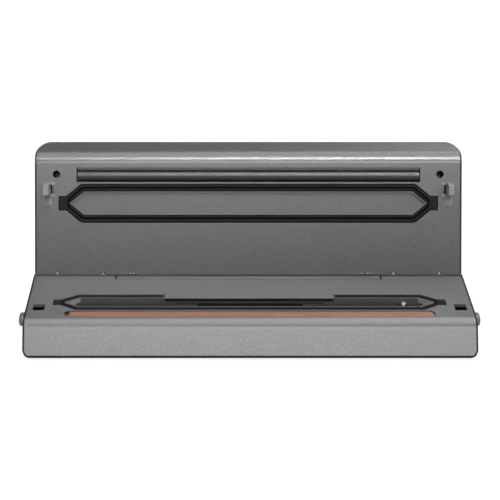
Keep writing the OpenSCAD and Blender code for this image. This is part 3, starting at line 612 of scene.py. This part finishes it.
def close_tree(tree, start, end, geometry):
    """Ends a tree in plain geometry with its finish."""
    real = output(tree, "GeometryNodeRealizeInstances", {0: geometry})
    done = output(tree, "GeometryNodeSetMaterial", {0: real, "Material": start["Finish"]})
    tree.links.new(done, end.inputs[0])
    return tree


def run_tree(tree, source, place, finish, **numbers):
    """The plain mesh that a tree makes from a source mesh."""
    host = new_object("host", source)
    mod = host.modifiers.new("tree", "NODES")
    mod.node_group = tree
    names = {item.name: item.identifier for item in tree.interface.items_tree
             if item.item_type == "SOCKET" and item.in_out == "INPUT"}
    for label, value in numbers.items():
        mod[names[label.replace("_", " ")]] = value
    mod[names["Finish"]] = finish
    return baked(host, place)


def sweep_tree():
    """Sweeps the section part of its mesh along the path part, whose corners it rounds."""
    tree, start, end = geometry_tree("swept_section", {"Corner Radius": 6.0,
                                                       "Corner Points": 8})
    flag = output(tree, "GeometryNodeInputNamedAttribute", {"Name": "section"},
                  data_type="BOOLEAN")
    parts = add(tree, "GeometryNodeSeparateGeometry", {0: start["Geometry"], 1: flag}).outputs
    section, path = (output(tree, "GeometryNodeMeshToCurve", {0: part})
                     for part in (parts[0], parts[1]))
    feeds = {"Curve": path, "Count": start["Corner Points"], "Radius": start["Corner Radius"],
             "Limit Radius": True}
    path = output(tree, "GeometryNodeFilletCurve", feeds, mode="POLY")
    path = output(tree, "GeometryNodeSetCurveNormal", {0: path}, mode="Z_UP")
    swept = output(tree, "GeometryNodeCurveToMesh", {0: path, 1: section, "Fill Caps": True})
    smooth = output(tree, "GeometryNodeSetShadeSmooth", {0: swept, "Shade Smooth": True})
    return close_tree(tree, start, end, smooth)


def path_and_section(path, section, closed=True):
    """The source mesh of a sweep: a path, and a closed section in its (sideways, up) plane."""
    mesh = bpy.data.meshes.new("path")
    count, turn = len(path), len(section)
    edges = [(k, (k + 1) % count) for k in range(count if closed else count - 1)]
    edges += [(count + k, count + (k + 1) % turn) for k in range(turn)]
    mesh.from_pydata([*path, *((a, -b, 0) for a, b in section)], edges, [])
    flag = mesh.attributes.new("section", "BOOLEAN", "POINT")
    for k in range(turn):
        flag.data[count + k].value = True
    return mesh


def spots(places, height):
    """Loose points for repeated parts, from (x, distance from the hinge side)."""
    mesh = bpy.data.meshes.new("spots")
    mesh.from_pydata([(x, -d, height) for x, d in places], [], [])
    return mesh


def disc(tree, radius, low, high):
    """A solid disc between two heights."""
    feeds = {"Vertices": 32, "Radius": radius, "Depth": maths(tree, "SUBTRACT", high, low)}
    made = output(tree, "GeometryNodeMeshCylinder", feeds)
    up = output(tree, "ShaderNodeCombineXYZ", {2: times(tree, plus(tree, high, low), 0.5)})
    return output(tree, "GeometryNodeTransform", {0: made, "Translation": up})


def on_points(tree, start, part):
    """A part on every point of the source."""
    return output(tree, "GeometryNodeInstanceOnPoints", {0: start["Geometry"], 2: part})


def screw_tree():
    """Puts a cross-head screw, head down, on every point."""
    tree, start, end = geometry_tree("screws", {
        "Head Diameter": 5.6, "Head Height": 1.6, "Shank Diameter": 3.0, "Length": 15.0,
        "Slot Width": 0.9})
    tall, slot = start["Head Height"], start["Slot Width"]
    radius = times(tree, start["Head Diameter"], 0.5)
    head = disc(tree, radius, 0.0, tall)
    crown = disc(tree, times(tree, radius, 0.86), times(tree, tall, -0.12),
                 times(tree, tall, 0.5))
    solid = output(tree, "GeometryNodeMeshBoolean", {1: [head, crown]}, operation="UNION")
    arm = times(tree, radius, 1.15)
    bars = []
    for x, y in ((arm, slot), (slot, arm)):
        size = output(tree, "ShaderNodeCombineXYZ", {0: x, 1: y, 2: tall})
        bars.append(output(tree, "GeometryNodeMeshCube", {"Size": size}))
    cross = output(tree, "GeometryNodeMeshBoolean", {0: solid, 1: bars},
                   operation="DIFFERENCE")
    shank = disc(tree, times(tree, start["Shank Diameter"], 0.5), tall, start["Length"])
    whole = output(tree, "GeometryNodeJoinGeometry", {0: [cross, shank]})
    return close_tree(tree, start, end, on_points(tree, start, whole))


def foot_tree():
    """Puts a rubber foot with a hollow middle on every point."""
    tree, start, end = geometry_tree("feet", {"Diameter": 14.0, "Height": 3.0})
    radius = times(tree, start["Diameter"], 0.5)
    body = disc(tree, radius, 0.35, start["Height"])
    sole = disc(tree, maths(tree, "SUBTRACT", radius, 0.5), 0.0, 1.0)
    solid = output(tree, "GeometryNodeMeshBoolean", {1: [body, sole]}, operation="UNION")
    dimple = disc(tree, times(tree, radius, 0.45), -1.0, 0.6)
    hollow = output(tree, "GeometryNodeMeshBoolean", {0: solid, 1: dimple},
                    operation="DIFFERENCE")
    return close_tree(tree, start, end, on_points(tree, start, hollow))


def ring_path(inset, middle, extra=()):
    """The six-sided ring shrunk by inset, with extra stations on its rear run."""
    straight = RING_STRAIGHT - inset * math.tan(RING_ANGLE / 2)
    point = RING_POINT - inset / math.sin(RING_ANGLE)
    half = RING_HALF - inset
    flat = [(-point, 0), (-straight, half), *((x, half) for x in extra), (straight, half),
            (point, 0), (straight, -half), (-straight, -half)]
    return [(x, y - middle, 0) for x, y in flat]


# ---------------- operators


def settings():
    """The scene's settings of the vacuum sealer."""
    return bpy.context.scene.vacuum_sealer


class SEALER_OT_stage(Operator):
    """Sets the camera, the pale floor and the soft lamps"""

    bl_idname = "sealer.stage"
    bl_label = "Studio"

    def execute(self, context):
        s = settings().stage
        scene = context.scene
        scene.view_settings.view_transform = "Standard"
        lens = bpy.data.cameras.new("camera")
        lens.lens, lens.sensor_width, lens.shift_x = s.lens, 36, s.shift
        lens.clip_start, lens.clip_end = 0.05, 20
        camera = new_object("camera", lens)
        camera.location, camera.rotation_euler = s.eye, (s.pitch, 0, 0)
        scene.camera = camera

        # The room lights the scene faintly, and is white to the camera.
        world = bpy.data.worlds.new("room")
        scene.world = world
        world.use_nodes = True
        tree = world.node_tree
        tree.nodes.clear()
        seen = add(tree, "ShaderNodeLightPath").outputs["Is Camera Ray"]
        room, white = (output(tree, "ShaderNodeBackground", {"Color": (1, 1, 1, 1),
                                                             "Strength": strength})
                       for strength in (s.world, 1.0))
        mixed = output(tree, "ShaderNodeMixShader", {0: seen, 1: room, 2: white})
        add(tree, "ShaderNodeOutputWorld", {0: mixed})

        # The floor is a pale surface to the light, and nearly white to the camera.
        bm = bmesh.new()
        bmesh.ops.create_grid(bm, x_segments=1, y_segments=1, size=6)
        mesh = to_mesh(bm, turn=False)
        floor = new_object("floor", mesh)
        mat, tree, shader, where = new_finish("floor", 0.9, Specular_IOR_Level=0.0)
        grain = span(tree, noise(tree, where, 40), 0.3, 0.7, 0, 1)
        paint(tree, shader, between(tree, grain, (0.80, 0.80, 0.80), (0.83, 0.83, 0.83)))
        seen = add(tree, "ShaderNodeLightPath").outputs["Is Camera Ray"]
        faint = output(tree, "ShaderNodeBsdfDiffuse", {"Color": (0.26, 0.26, 0.26, 1)})
        glow = output(tree, "ShaderNodeEmission", {"Color": (1, 1, 1, 1), "Strength": 0.86})
        bright = output(tree, "ShaderNodeAddShader", {0: faint, 1: glow})
        mixed = output(tree, "ShaderNodeMixShader",
                       {0: seen, 1: shader.outputs[0], 2: bright})
        tree.links.new(mixed, tree.nodes["Material Output"].inputs[0])
        mesh.materials.append(mat)

        # Lamps: place, aim, size, power, and spread of the beam in degrees.
        lamps = (
            ("front_softbox", (0.10, -1.13, 0.84), (0, 0.0, 0.06), (1.3, 0.34), s.front, 180),
            ("top_softbox", (0.30, 0.30, 1.33), (0, 0.05, 0.05), (1.4, 2.0), s.top, 180),
            ("nose_strip", (0.16, -0.37, 0.95), (0.06, 0.080, 0.145), (1.0, 0.14), s.nose, 18),
        )
        for name, place, aim, size, power, spread in lamps:
            lamp = bpy.data.lights.new(name, "AREA")
            lamp.shape, lamp.size, lamp.size_y = "RECTANGLE", *size
            lamp.energy, lamp.spread = power, math.radians(spread)
            holder = new_object(name, lamp)
            holder.visible_camera = False
            holder.location = place
            beam = Vector(aim) - Vector(place)
            holder.rotation_euler = beam.to_track_quat("-Z", "Y").to_euler()
        return {"FINISHED"}


class SEALER_OT_casing(Operator):
    """Rounds and finishes the dark outer casing of base and lid"""

    bl_idname = "sealer.casing"
    bl_label = "Casing"

    def execute(self, context):
        s = settings().moulding
        dark = plain_finish("dark_casing", s.dark, 0.5, grain=1400, tone=0.15, depth=0.00005,
                            Specular_IOR_Level=0.3)
        rounded_node("bottom_shell", "base_casing", "base", "dark_casing", dark, s.edge)
        rounded_node("lid_cover", "lid_casing", "lid", "dark_casing", dark, s.edge)
        return {"FINISHED"}


def in_deck_slots(spot):
    """Whether a spot is on a wall of the slot or of a strip gap, or on the bag stop's end."""
    across = abs(spot.x)
    slot = (across < SLOT_HALF + NEAR
            and -SLOT_W / 2 - NEAR < spot.y + SLOT_MID < SLOT_W / 2 - 0.8)
    tongue = (across < TONGUE_HALF + 0.3 and spot.z > -TONGUE_T - 1
              and -TONGUE_FRONT - 1.0 < spot.y < -TONGUE_FRONT + 0.5)
    gap = abs(across - STRIP_HALF) < 0.75 and -13.0 < spot.y < -2.9
    return (slot or tongue) and spot.z < -0.4 or gap and spot.z < -NEAR


def in_lid_recesses(spot):
    """Whether a spot is on a wall of the bar's slot, of a screw hole or of an edge recess."""
    bar = abs(spot.x) < BAR_HALF + 0.45 and abs(spot.y + LID_SLOT_MID) < SLOT_W / 2 + NEAR
    screw = any(math.hypot(spot.x - x, spot.y + d) < LID_HOLE_R + NEAR for x, d in LID_SCREWS)
    edge = spot.y > -3.4 and any(abs(spot.x - x) < 2.35 for x, _ in EDGE_SCREWS)
    return spot.z > 0.1 and (bar or screw or edge)


def on_ears(spot):
    """Whether a spot is on the part of a hinge ear that stands above the deck."""
    return abs(abs(spot.x) - EAR_X) < 1.4 and -4.2 < spot.y < -0.8 and spot.z > NEAR


def in_chamber_ends(spot):
    """Whether a spot is in the pointed ends of the chamber, inside the gasket."""
    return (149 < abs(spot.x) < 162 and abs(spot.y + CHAMBER_MID) < 9
            and -12 < spot.z < -1.2)


class SEALER_OT_mouldings(Operator):
    """Rounds and finishes the grey mouldings of deck and lid"""

    bl_idname = "sealer.mouldings"
    bl_label = "Mouldings"

    def execute(self, context):
        s = settings().moulding
        grey = sparkle_finish("grey_moulding", s.grey, 0.36, s.grain, 0.45)
        # Painted shade: the lid's moulding is the deck's grey painted darker, so that its face
        # renders dimmer than the deck.
        lid_grey_painted_shade = sparkle_finish("lid_grey_painted_shade", shade(s.grey, 0.60), 0.25, s.grain, 0.45)
        deep = plain_finish("recess_painted_shade", s.deep, 0.7, grain=900, tone=0.2,
                            Specular_IOR_Level=0.2)
        deck = rounded_node("deck_panel", "deck_moulding", "base", "grey_moulding", grey,
                            s.edge)
        # Painted shade on the walls of the sealing slot and the strip gaps, and on the bag
        # stop's front end.
        shadow(deck, deep, ON_BASE, in_deck_slots)
        # Painted shade: the hinge ears' tops are a darker, matt copy of the grey, which hides
        # the light they catch.
        shadow(deck, plain_finish("ear_painted_shade", shade(s.grey, 0.45), 0.8,
                                  Specular_IOR_Level=0.1), ON_BASE, on_ears)
        # Painted light: the chamber's pointed ends are the deck grey painted brighter and
        # mottled, standing in for the light on them.
        shadow(deck, plain_finish("chamber_end_painted_light", shade(s.grey, 1.7), 0.4, grain=700,
                                  tone=0.5, depth=0.0002), ON_BASE, in_chamber_ends)
        # The lid's lower edge ends in a fine lip that closes on the deck.
        bm, home = welded("lid_panel"), ON_LID.inverted()
        for vert in bm.verts:
            spot = home @ vert.co
            if spot.y > -1.6 and spot.z < NEAR:
                vert.co = ON_LID @ Vector((spot.x, -0.95, spot.z))
        lid = show("lid_moulding", to_mesh(bm, turn=False), "lid", "grey_moulding", lid_grey_painted_shade,
                   "lid_panel")
        bevelled(lid, s.edge)
        # Painted shade on the walls of the bar's slot, the screw holes and the edge recesses.
        shadow(lid, deep, ON_LID, in_lid_recesses)
        return {"FINISHED"}


class SEALER_OT_gaskets(Operator):
    """Sweeps the two ridged foam gaskets around the chamber"""

    bl_idname = "sealer.gaskets"
    bl_label = "Gaskets"

    def execute(self, context):
        s = settings().seal
        foam = foam_finish("gasket_foam", s.foam)
        # Painted shade: the foam's faces deep in the grooves get a darker foam, as shade in
        # the grooves.
        groove = plain_finish("gasket_groove_painted_shade", shade(s.foam, 0.3), 0.9, grain=900,
                              Specular_IOR_Level=0.0)
        tree = sweep_tree()
        half = BAND_W / 2
        # Section across the groove: a wide outer and a narrower inner ridge on one band.
        flank = ((-0.1, -s.ridge), (0.0, -0.9), (0.35, -0.2), (0.8, RIDGE_TOP))
        section = [(-half, -GROOVE_DEPTH)]
        for start, end in RIDGES:
            section += [(start + x - half, z) for x, z in flank]
            section += [(end - x - half, z) for x, z in reversed(flank)]
        section.append((half, -GROOVE_DEPTH))
        edge = TONGUE_HALF + 1.0
        stations = (-edge - 2.4, -edge, edge, edge + 2.4)
        for node, name, body, place, middle, up, extra in (
            ("base_gasket", "base_gasket_foam", "base", ON_BASE, CHAMBER_MID, 1, stations),
            ("lid_gasket", "lid_gasket_foam", "lid", ON_LID, LID_CHAMBER_MID, -1, ()),
        ):
            source = path_and_section(ring_path(half, middle, extra),
                                      [(a, up * b) for a, b in section])
            ring = run_tree(tree, source, None, foam, Corner_Radius=s.corner)
            bm = joined(ring, weld=0.001)
            if body == "base":
                # The bag stop presses the rear run down.
                for vert in bm.verts:
                    if abs(vert.co.x) <= edge + 0.1 and vert.co.y > -TONGUE_FRONT - 0.3:
                        vert.co.z = min(vert.co.z, -TONGUE_T - 0.25)
            for side in (-1, 1):
                block(bm, sorted((side * TAB_INNER, side * TAB_OUTER)),
                      (-middle - TAB_REACH, -middle + TAB_REACH),
                      sorted((up * -GROOVE_DEPTH, up * -0.2)), 1.0)
            ring = show(name, to_mesh(bm, place), body, "gasket_foam", foam, node)
            shadow(ring, groove, place, lambda spot: up * spot.z < -0.85)
        return {"FINISHED"}


class SEALER_OT_pressing_bar(Operator):
    """Makes the silicone bar that presses the bag on the sealing strip"""

    bl_idname = "sealer.pressing_bar"
    bl_label = "Pressing bar"

    def execute(self, context):
        silicone = plain_finish("seal_silicone", settings().seal.silicone, 0.34, grain=500,
                                tone=0.2, depth=0.0, patch=0.0, Specular_IOR_Level=0.6)
        crown = [(-4.9, 3.4), (-4.75, 2.5), (-4.3, 1.45), (-3.5, 0.45), (-2.4, -0.35),
                 (-1.3, -0.82), (0, -1.0)]
        dome = crown + [(-x, z) for x, z in reversed(crown[:-1])]
        # A flat flange lies along the side of the dome that is nearer the lid's nose.
        section = [(x - 1.0, z) for x, z in dome]
        section += [(4.1, 0.9), (6.1, 0.9), (6.1, 6.3), (-5.9, 6.3)]
        path = [(-BAR_HALF + 0.5, -LID_SLOT_MID, 0), (BAR_HALF - 0.5, -LID_SLOT_MID, 0)]
        bar = run_tree(sweep_tree(), path_and_section(path, section, closed=False), None,
                       silicone, Corner_Radius=0.0)
        bar = show("pressing_bar", to_mesh(joined(bar, weld=0.001), ON_LID), "lid",
                   "seal_silicone", silicone, "seal_bar")
        bevelled(bar, 0.0006, 3, 50)
        return {"FINISHED"}


def tape_height(x, v):
    """The tape's height x along it and v across it, v from -1 to 1."""
    # The ribbon lifts the middle, the cloth is not quite flat, and its ends are held down.
    lift = 0.16 * math.exp(-(v / 0.42) ** 4) - 0.10
    wave = 0.035 * math.sin(x * 0.31 + 2.1 * v) + 0.03 * math.sin(x * 0.83 - 1.3 * v)
    held = max(0.0, abs(x) - TAPE_HALF + 3) / 3
    return TAPE_TOP + lift + wave * (1 - held) - 0.12 * held


class SEALER_OT_heater(Operator):
    """Lays the heating wire and its woven tape in the sealing slot"""

    bl_idname = "sealer.heater"
    bl_label = "Sealing strip"

    def execute(self, context):
        s = settings().heater
        tape = cloth_finish("heater_tape", s.tape, s.weave)
        long, across = 124, 12
        half_w, highest = (SLOT_W - 0.5) / 2, TAPE_TOP + 0.12
        bm = bmesh.new()
        grids = []
        for level in (0.0, -TAPE_T):
            grid = []
            for i in range(long + 1):
                x = -TAPE_HALF + 2 * TAPE_HALF * i / long
                row = []
                for j in range(across + 1):
                    v = -1 + 2 * j / across
                    z = min(tape_height(x, v) + level, highest)
                    row.append(bm.verts.new((x + TAPE_SHIFT, -SLOT_MID + half_w * v, z)))
                grid.append(row)
            grids.append(grid)
        for grid in grids:
            for i in range(long):
                for j in range(across):
                    bm.faces.new((grid[i][j], grid[i + 1][j], grid[i + 1][j + 1],
                                  grid[i][j + 1]))
        rim = [(i, 0) for i in range(long)] + [(long, j) for j in range(across)]
        rim += [(i, across) for i in range(long, 0, -1)]
        rim += [(0, j) for j in range(across, 0, -1)]
        skin(bm, [[grid[i][j] for i, j in rim] for grid in grids])
        show("tape_cover", to_mesh(bm, ON_BASE), "base", "heater_tape", tape, "heater_tape")
        wear(plain_finish("heater_insulator", (0.035, 0.028, 0.025), 0.6, grain=900, tone=0.2),
             "heater_bar")
        wear(metal_finish("heater_wire", (0.62, 0.58, 0.52), 0.3, (0.05, 1, 1)),
             "heating_wire")
        wear(metal_finish("terminal_brass", (0.62, 0.42, 0.16), 0.32), "heater_terminals")
        return {"FINISHED"}


class SEALER_OT_tray(Operator):
    """Rounds the drip tray and turns the suction port"""

    bl_idname = "sealer.tray"
    bl_label = "Tray and suction port"

    def execute(self, context):
        s = settings().fitting
        tray = plain_finish("tray_grey", s.tray, 0.42, grain=1100, tone=0.12, depth=0.00004)
        dim = plain_finish("tray_shade", shade(s.tray, 0.2), 0.8, grain=1100,
                           Specular_IOR_Level=0.1)
        piece = rounded_node("drip_tray", "lift_out_tray", "drip_tray_body", "tray_grey",
                             tray, 0.0006, 3)
        # Under the bag stop, only the two blocks catch the light.
        shadow(piece, dim, ON_BASE,
               lambda spot: abs(spot.x) < 44.7 or 64.3 < abs(spot.x) < TONGUE_HALF)
        steel = metal_finish("port_steel", shade(s.steel, 0.45), 0.34)
        outline = [(1.0, -16.2), (3.5, -16.2), (3.5, -5.8), (3.5, -4.4), (3.42, -3.6),
                   (3.15, -2.9), (2.7, -2.3), (2.1, -1.85), (1.5, -1.62), (1.15, -1.6),
                   (1.0, -1.8)]
        bm = bmesh.new()
        lathe(bm, outline)
        bmesh.ops.translate(bm, verts=bm.verts, vec=(PORT[0], -PORT[1], 0))
        show("suction_nozzle", to_mesh(bm, ON_BASE), "base", "port_steel", steel,
             "suction_port")
        return {"FINISHED"}


def hook_mesh(side):
    """A latch hook in the lid's millimetres: foot, two arms, and the bar across their ends."""
    bm, hole = bmesh.new(), bmesh.new()
    half, tip, arm = HOOK_HALF, HOOK_TIP, HOOK_HALF - 1.9
    # Outline of the blade, seen along X, about the hook's middle.
    slab(bm, [(-half - 2.6, 1.0), (-half - 2.6, -2.0), (-half - 0.2, -14.5),
              (-half, tip + 0.9), (-half + 0.9, tip), (half - 0.9, tip), (half, tip + 0.9),
              (half, 1.0)], -HOOK_T, HOOK_T)
    slab(hole, [(-arm, -2.5), (-arm, -16.1), (arm, -16.1), (arm, -2.5)], -9, 9)
    foot = joined(cut(bm, hole))
    block(foot, (-3.3, 3.3), (-half, half + 7.6), (0.02, 4.6))
    # Two lugs on the inner side carry the blade.
    for near, far in ((-half - 2.6, -half - 0.5), (half - 2.0, half + 0.6)):
        block(foot, sorted((-side * 2.0, -side * 6.4)), (near, far), (-0.4, 1.0), 0.3)
    block(foot, sorted((-side * 2.4, -side * 4.0)), (-half, half - 2.2), (-0.15, 0.8))
    bmesh.ops.translate(foot, verts=foot.verts, vec=(side * HOOK_X, -HOOK_D, 0))
    return to_mesh(foot, ON_LID)


def pill_mesh(side, rings, steps=14):
    """A release button in the base's millimetres: rings give (stand-out, inset) outwards."""
    bm = bmesh.new()
    loops = []
    for out, inset in rings:
        radius = BUTTON_HALF_H - inset
        loop = []
        for end in (1, -1):
            for k in range(steps + 1):
                turn = math.pi * (k / steps - 0.5) + (0 if end > 0 else math.pi)
                y = end * (BUTTON_HALF_L - BUTTON_HALF_H) + radius * math.cos(turn)
                loop.append(bm.verts.new((side * (HALF_W + out), y - BUTTON_MID,
                                          radius * math.sin(turn) - BUTTON_DROP)))
        loops.append(loop)
    skin(bm, loops)
    bm.faces.new(loops[0])
    bm.faces.new(loops[-1])
    return to_mesh(bm, ON_BASE)


class SEALER_OT_latches(Operator):
    """Makes the latch hooks and the release buttons, and rounds the catches"""

    bl_idname = "sealer.latches"
    bl_label = "Latches"

    def execute(self, context):
        s = settings().fitting
        hook = plain_finish("hook_grey", s.plastic, 0.4, grain=1300, tone=0.1)
        button = sparkle_finish("button_grey", s.plastic, 0.36, 1500, 0.3, 0.1, 0.2)
        catch = plain_finish("latch_plastic", (0.05, 0.052, 0.056), 0.45)
        # Painted shade: a near-black finish stands in for the dark gap between the hook's
        # lugs.
        gap = plain_finish("hook_gap_painted_shade", (0.006, 0.006, 0.006), 0.9, grain=900,
                           Specular_IOR_Level=0.0)
        # The button outwards from its flange: straight wall, rounded shoulder, slight dome.
        wall, shoulder = 3.6, 2.4
        crown = [(-2.7, -1.5), (-1.8, -1.5), (-1.8, 0.0), (wall, 0.0)]
        for degrees in range(15, 90, 15):
            turn = math.radians(degrees)
            crown.append((wall + shoulder * math.sin(turn), shoulder * (1 - math.cos(turn))))
        crown += [(6.05, 2.6), (6.2, 4.4)]
        for side, way in (("left", -1), ("right", 1)):
            piece = show("hook_" + side, hook_mesh(way), "lid", "hook_grey", hook,
                         "latch_hook_" + side)
            # The foot wears the lid's darker grey, which is painted shade, and the gap between
            # the lugs gets painted shade.
            shadow(piece, bpy.data.materials["lid_grey_painted_shade"], ON_LID,
                   lambda spot: spot.y > -HOOK_D + HOOK_HALF + 0.7)
            shadow(piece, gap, ON_LID, lambda spot: (
                HOOK_T < HOOK_X - way * spot.x < 4.1 and spot.z > -0.2
                and -HOOK_HALF - NEAR < spot.y + HOOK_D < HOOK_HALF - 2.1))
            bevelled(piece, 0.0005, 3, 25)
            piece = show("button_cap_" + side, pill_mesh(way, crown), "button_" + side,
                         "button_grey", button, "release_button_" + side)
            bevelled(piece, 0.00025, 2, 50)
            rounded_node("latch_catch_" + side, "catch_frame_" + side, "catch_" + side,
                         "latch_plastic", catch, 0.0003)
        return {"FINISHED"}


class SEALER_OT_fasteners(Operator):
    """Sets the screws and the rubber feet"""

    bl_idname = "sealer.fasteners"
    bl_label = "Screws and feet"

    def execute(self, context):
        steel = metal_finish("screw_steel", (0.55, 0.55, 0.56), 0.32)
        tree = screw_tree()
        show("case_screws", run_tree(tree, spots(BASE_SCREWS, BASE_SCREW_Z), ON_BASE, steel),
             "base", "plated_steel", None, "base_screws")
        deep = run_tree(tree, spots(LID_SCREWS, LID_SCREW_Z), None, steel,
                        Shank_Diameter=2.6, Length=6.6)
        small = run_tree(tree, spots(EDGE_SCREWS, EDGE_SCREW_Z), None, steel,
                         Head_Diameter=1.4, Head_Height=0.8, Shank_Diameter=0.9,
                         Length=11.0, Slot_Width=0.06)
        piece = show("lid_case_screws", to_mesh(joined(deep, small), ON_LID, False, False),
                     "lid", "plated_steel", steel, "lid_screws")
        # The screws deep in the lid's two holes get painted shade: a near-black steel that
        # stands in for the holes' darkness.
        shadow(piece, metal_finish("screw_painted_shade", (0.06, 0.06, 0.06), 0.4), ON_LID,
               lambda spot: spot.y < -50)
        rubber = plain_finish("foot_rubber", (0.02, 0.02, 0.021), 0.8, grain=900)
        feet = run_tree(foot_tree(), spots(FEET, -BASE_H - FOOT_T), ON_BASE, rubber)
        show("feet", feet, "base", "foot_rubber", None, "rubber_feet")
        return {"FINISHED"}


class SEALER_OT_inside(Operator):
    """Finishes the pump, the boards and the other parts inside"""

    bl_idname = "sealer.inside"
    bl_label = "Inner parts"

    def execute(self, context):
        wear(metal_finish("plated_steel", (0.55, 0.55, 0.56), 0.32),
             "pump_bracket", "pump_crank", "hinge_pins")
        wear(metal_finish("motor_steel", (0.48, 0.48, 0.5), 0.38, (0.1, 1, 1)), "pump_motor")
        wear(plain_finish("pump_plastic", (0.02, 0.021, 0.023), 0.42), "pump_head")
        wear(plain_finish("valve_blue", (0.07, 0.15, 0.26), 0.4), "release_valve")
        wear(board_finish("circuit_board", (0.015, 0.10, 0.03)), "main_board", "control_board")
        wear(plain_finish("components", (0.02, 0.022, 0.025), 0.3, grain=300, tone=0.4),
             "board_components", "lid_switches")
        wear(coil_finish("transformer_core", (0.18, 0.18, 0.19), (0.45, 0.2, 0.06)),
             "transformer")
        wear(plain_finish("sensor_white", (0.7, 0.7, 0.66), 0.4), "pressure_sensor")
        wear(plain_finish("hose", (0.6, 0.6, 0.56), 0.35, Transmission_Weight=0.25),
             "vacuum_hose")
        wear(plain_finish("inlet_black", (0.012, 0.012, 0.013), 0.4), "power_inlet")
        wear(metal_finish("contact_metal", (0.62, 0.5, 0.26), 0.25), "inlet_pins")
        return {"FINISHED"}


class SEALER_OT_controls(Operator):
    """Finishes the control panel on the lid"""

    bl_idname = "sealer.controls"
    bl_label = "Controls"

    def execute(self, context):
        s = settings().fitting
        glossy = plain_finish("control_black", (0.006, 0.006, 0.007), 0.08, grain=300,
                              tone=0.1, depth=0.000004, patch=0.02)
        rounded_node("control_window", "control_glass", "lid", "control_black", glossy, 0.0003)
        key = plain_finish("key_grey", s.plastic, 0.35, grain=1300, tone=0.08)
        for name in ("seal", "vacuum", "marinate", "mode"):
            rounded_node("key_" + name, "cap_" + name, "key_" + name + "_body", "key_grey",
                         key, 0.0007, 3)
        wear(plain_finish("led_green", (0.1, 0.6, 0.2), 0.2, grain=400,
                          Transmission_Weight=0.4), "indicator_leds")
        return {"FINISHED"}


STEPS = (
    SEALER_OT_stage, SEALER_OT_casing, SEALER_OT_mouldings, SEALER_OT_gaskets,
    SEALER_OT_pressing_bar, SEALER_OT_heater, SEALER_OT_tray, SEALER_OT_latches,
    SEALER_OT_controls, SEALER_OT_fasteners, SEALER_OT_inside,
)


class SEALER_PT_pieces(Panel):
    """Lists the steps that build the vacuum sealer"""

    bl_idname = "SEALER_PT_pieces"
    bl_label = "Vacuum Sealer"
    bl_space_type = "VIEW_3D"
    bl_region_type = "UI"
    bl_category = "Vacuum Sealer"

    def draw(self, context):
        column = self.layout.column(align=True)
        for step in STEPS:
            column.operator(step.bl_idname, text=step.bl_label)
        for group in ("moulding", "seal", "heater", "fitting", "stage"):
            box = self.layout.box()
            box.label(text=group.capitalize())
            values = getattr(context.scene.vacuum_sealer, group)
            for name in values.__annotations__:
                box.prop(values, name)


CLASSES = (MouldingSettings, SealSettings, HeaterSettings, FittingSettings, StageSettings,
           SealerSettings, *STEPS, SEALER_PT_pieces)


def register():
    for cls in CLASSES:
        bpy.utils.register_class(cls)
    bpy.types.Scene.vacuum_sealer = PointerProperty(type=SealerSettings)


def unregister():
    del bpy.types.Scene.vacuum_sealer
    for cls in reversed(CLASSES):
        bpy.utils.unregister_class(cls)


def main():
    register()
    for step in STEPS:
        group, name = step.bl_idname.split(".")
        getattr(getattr(bpy.ops, group), name)()


if __name__ == "__main__":
    main()
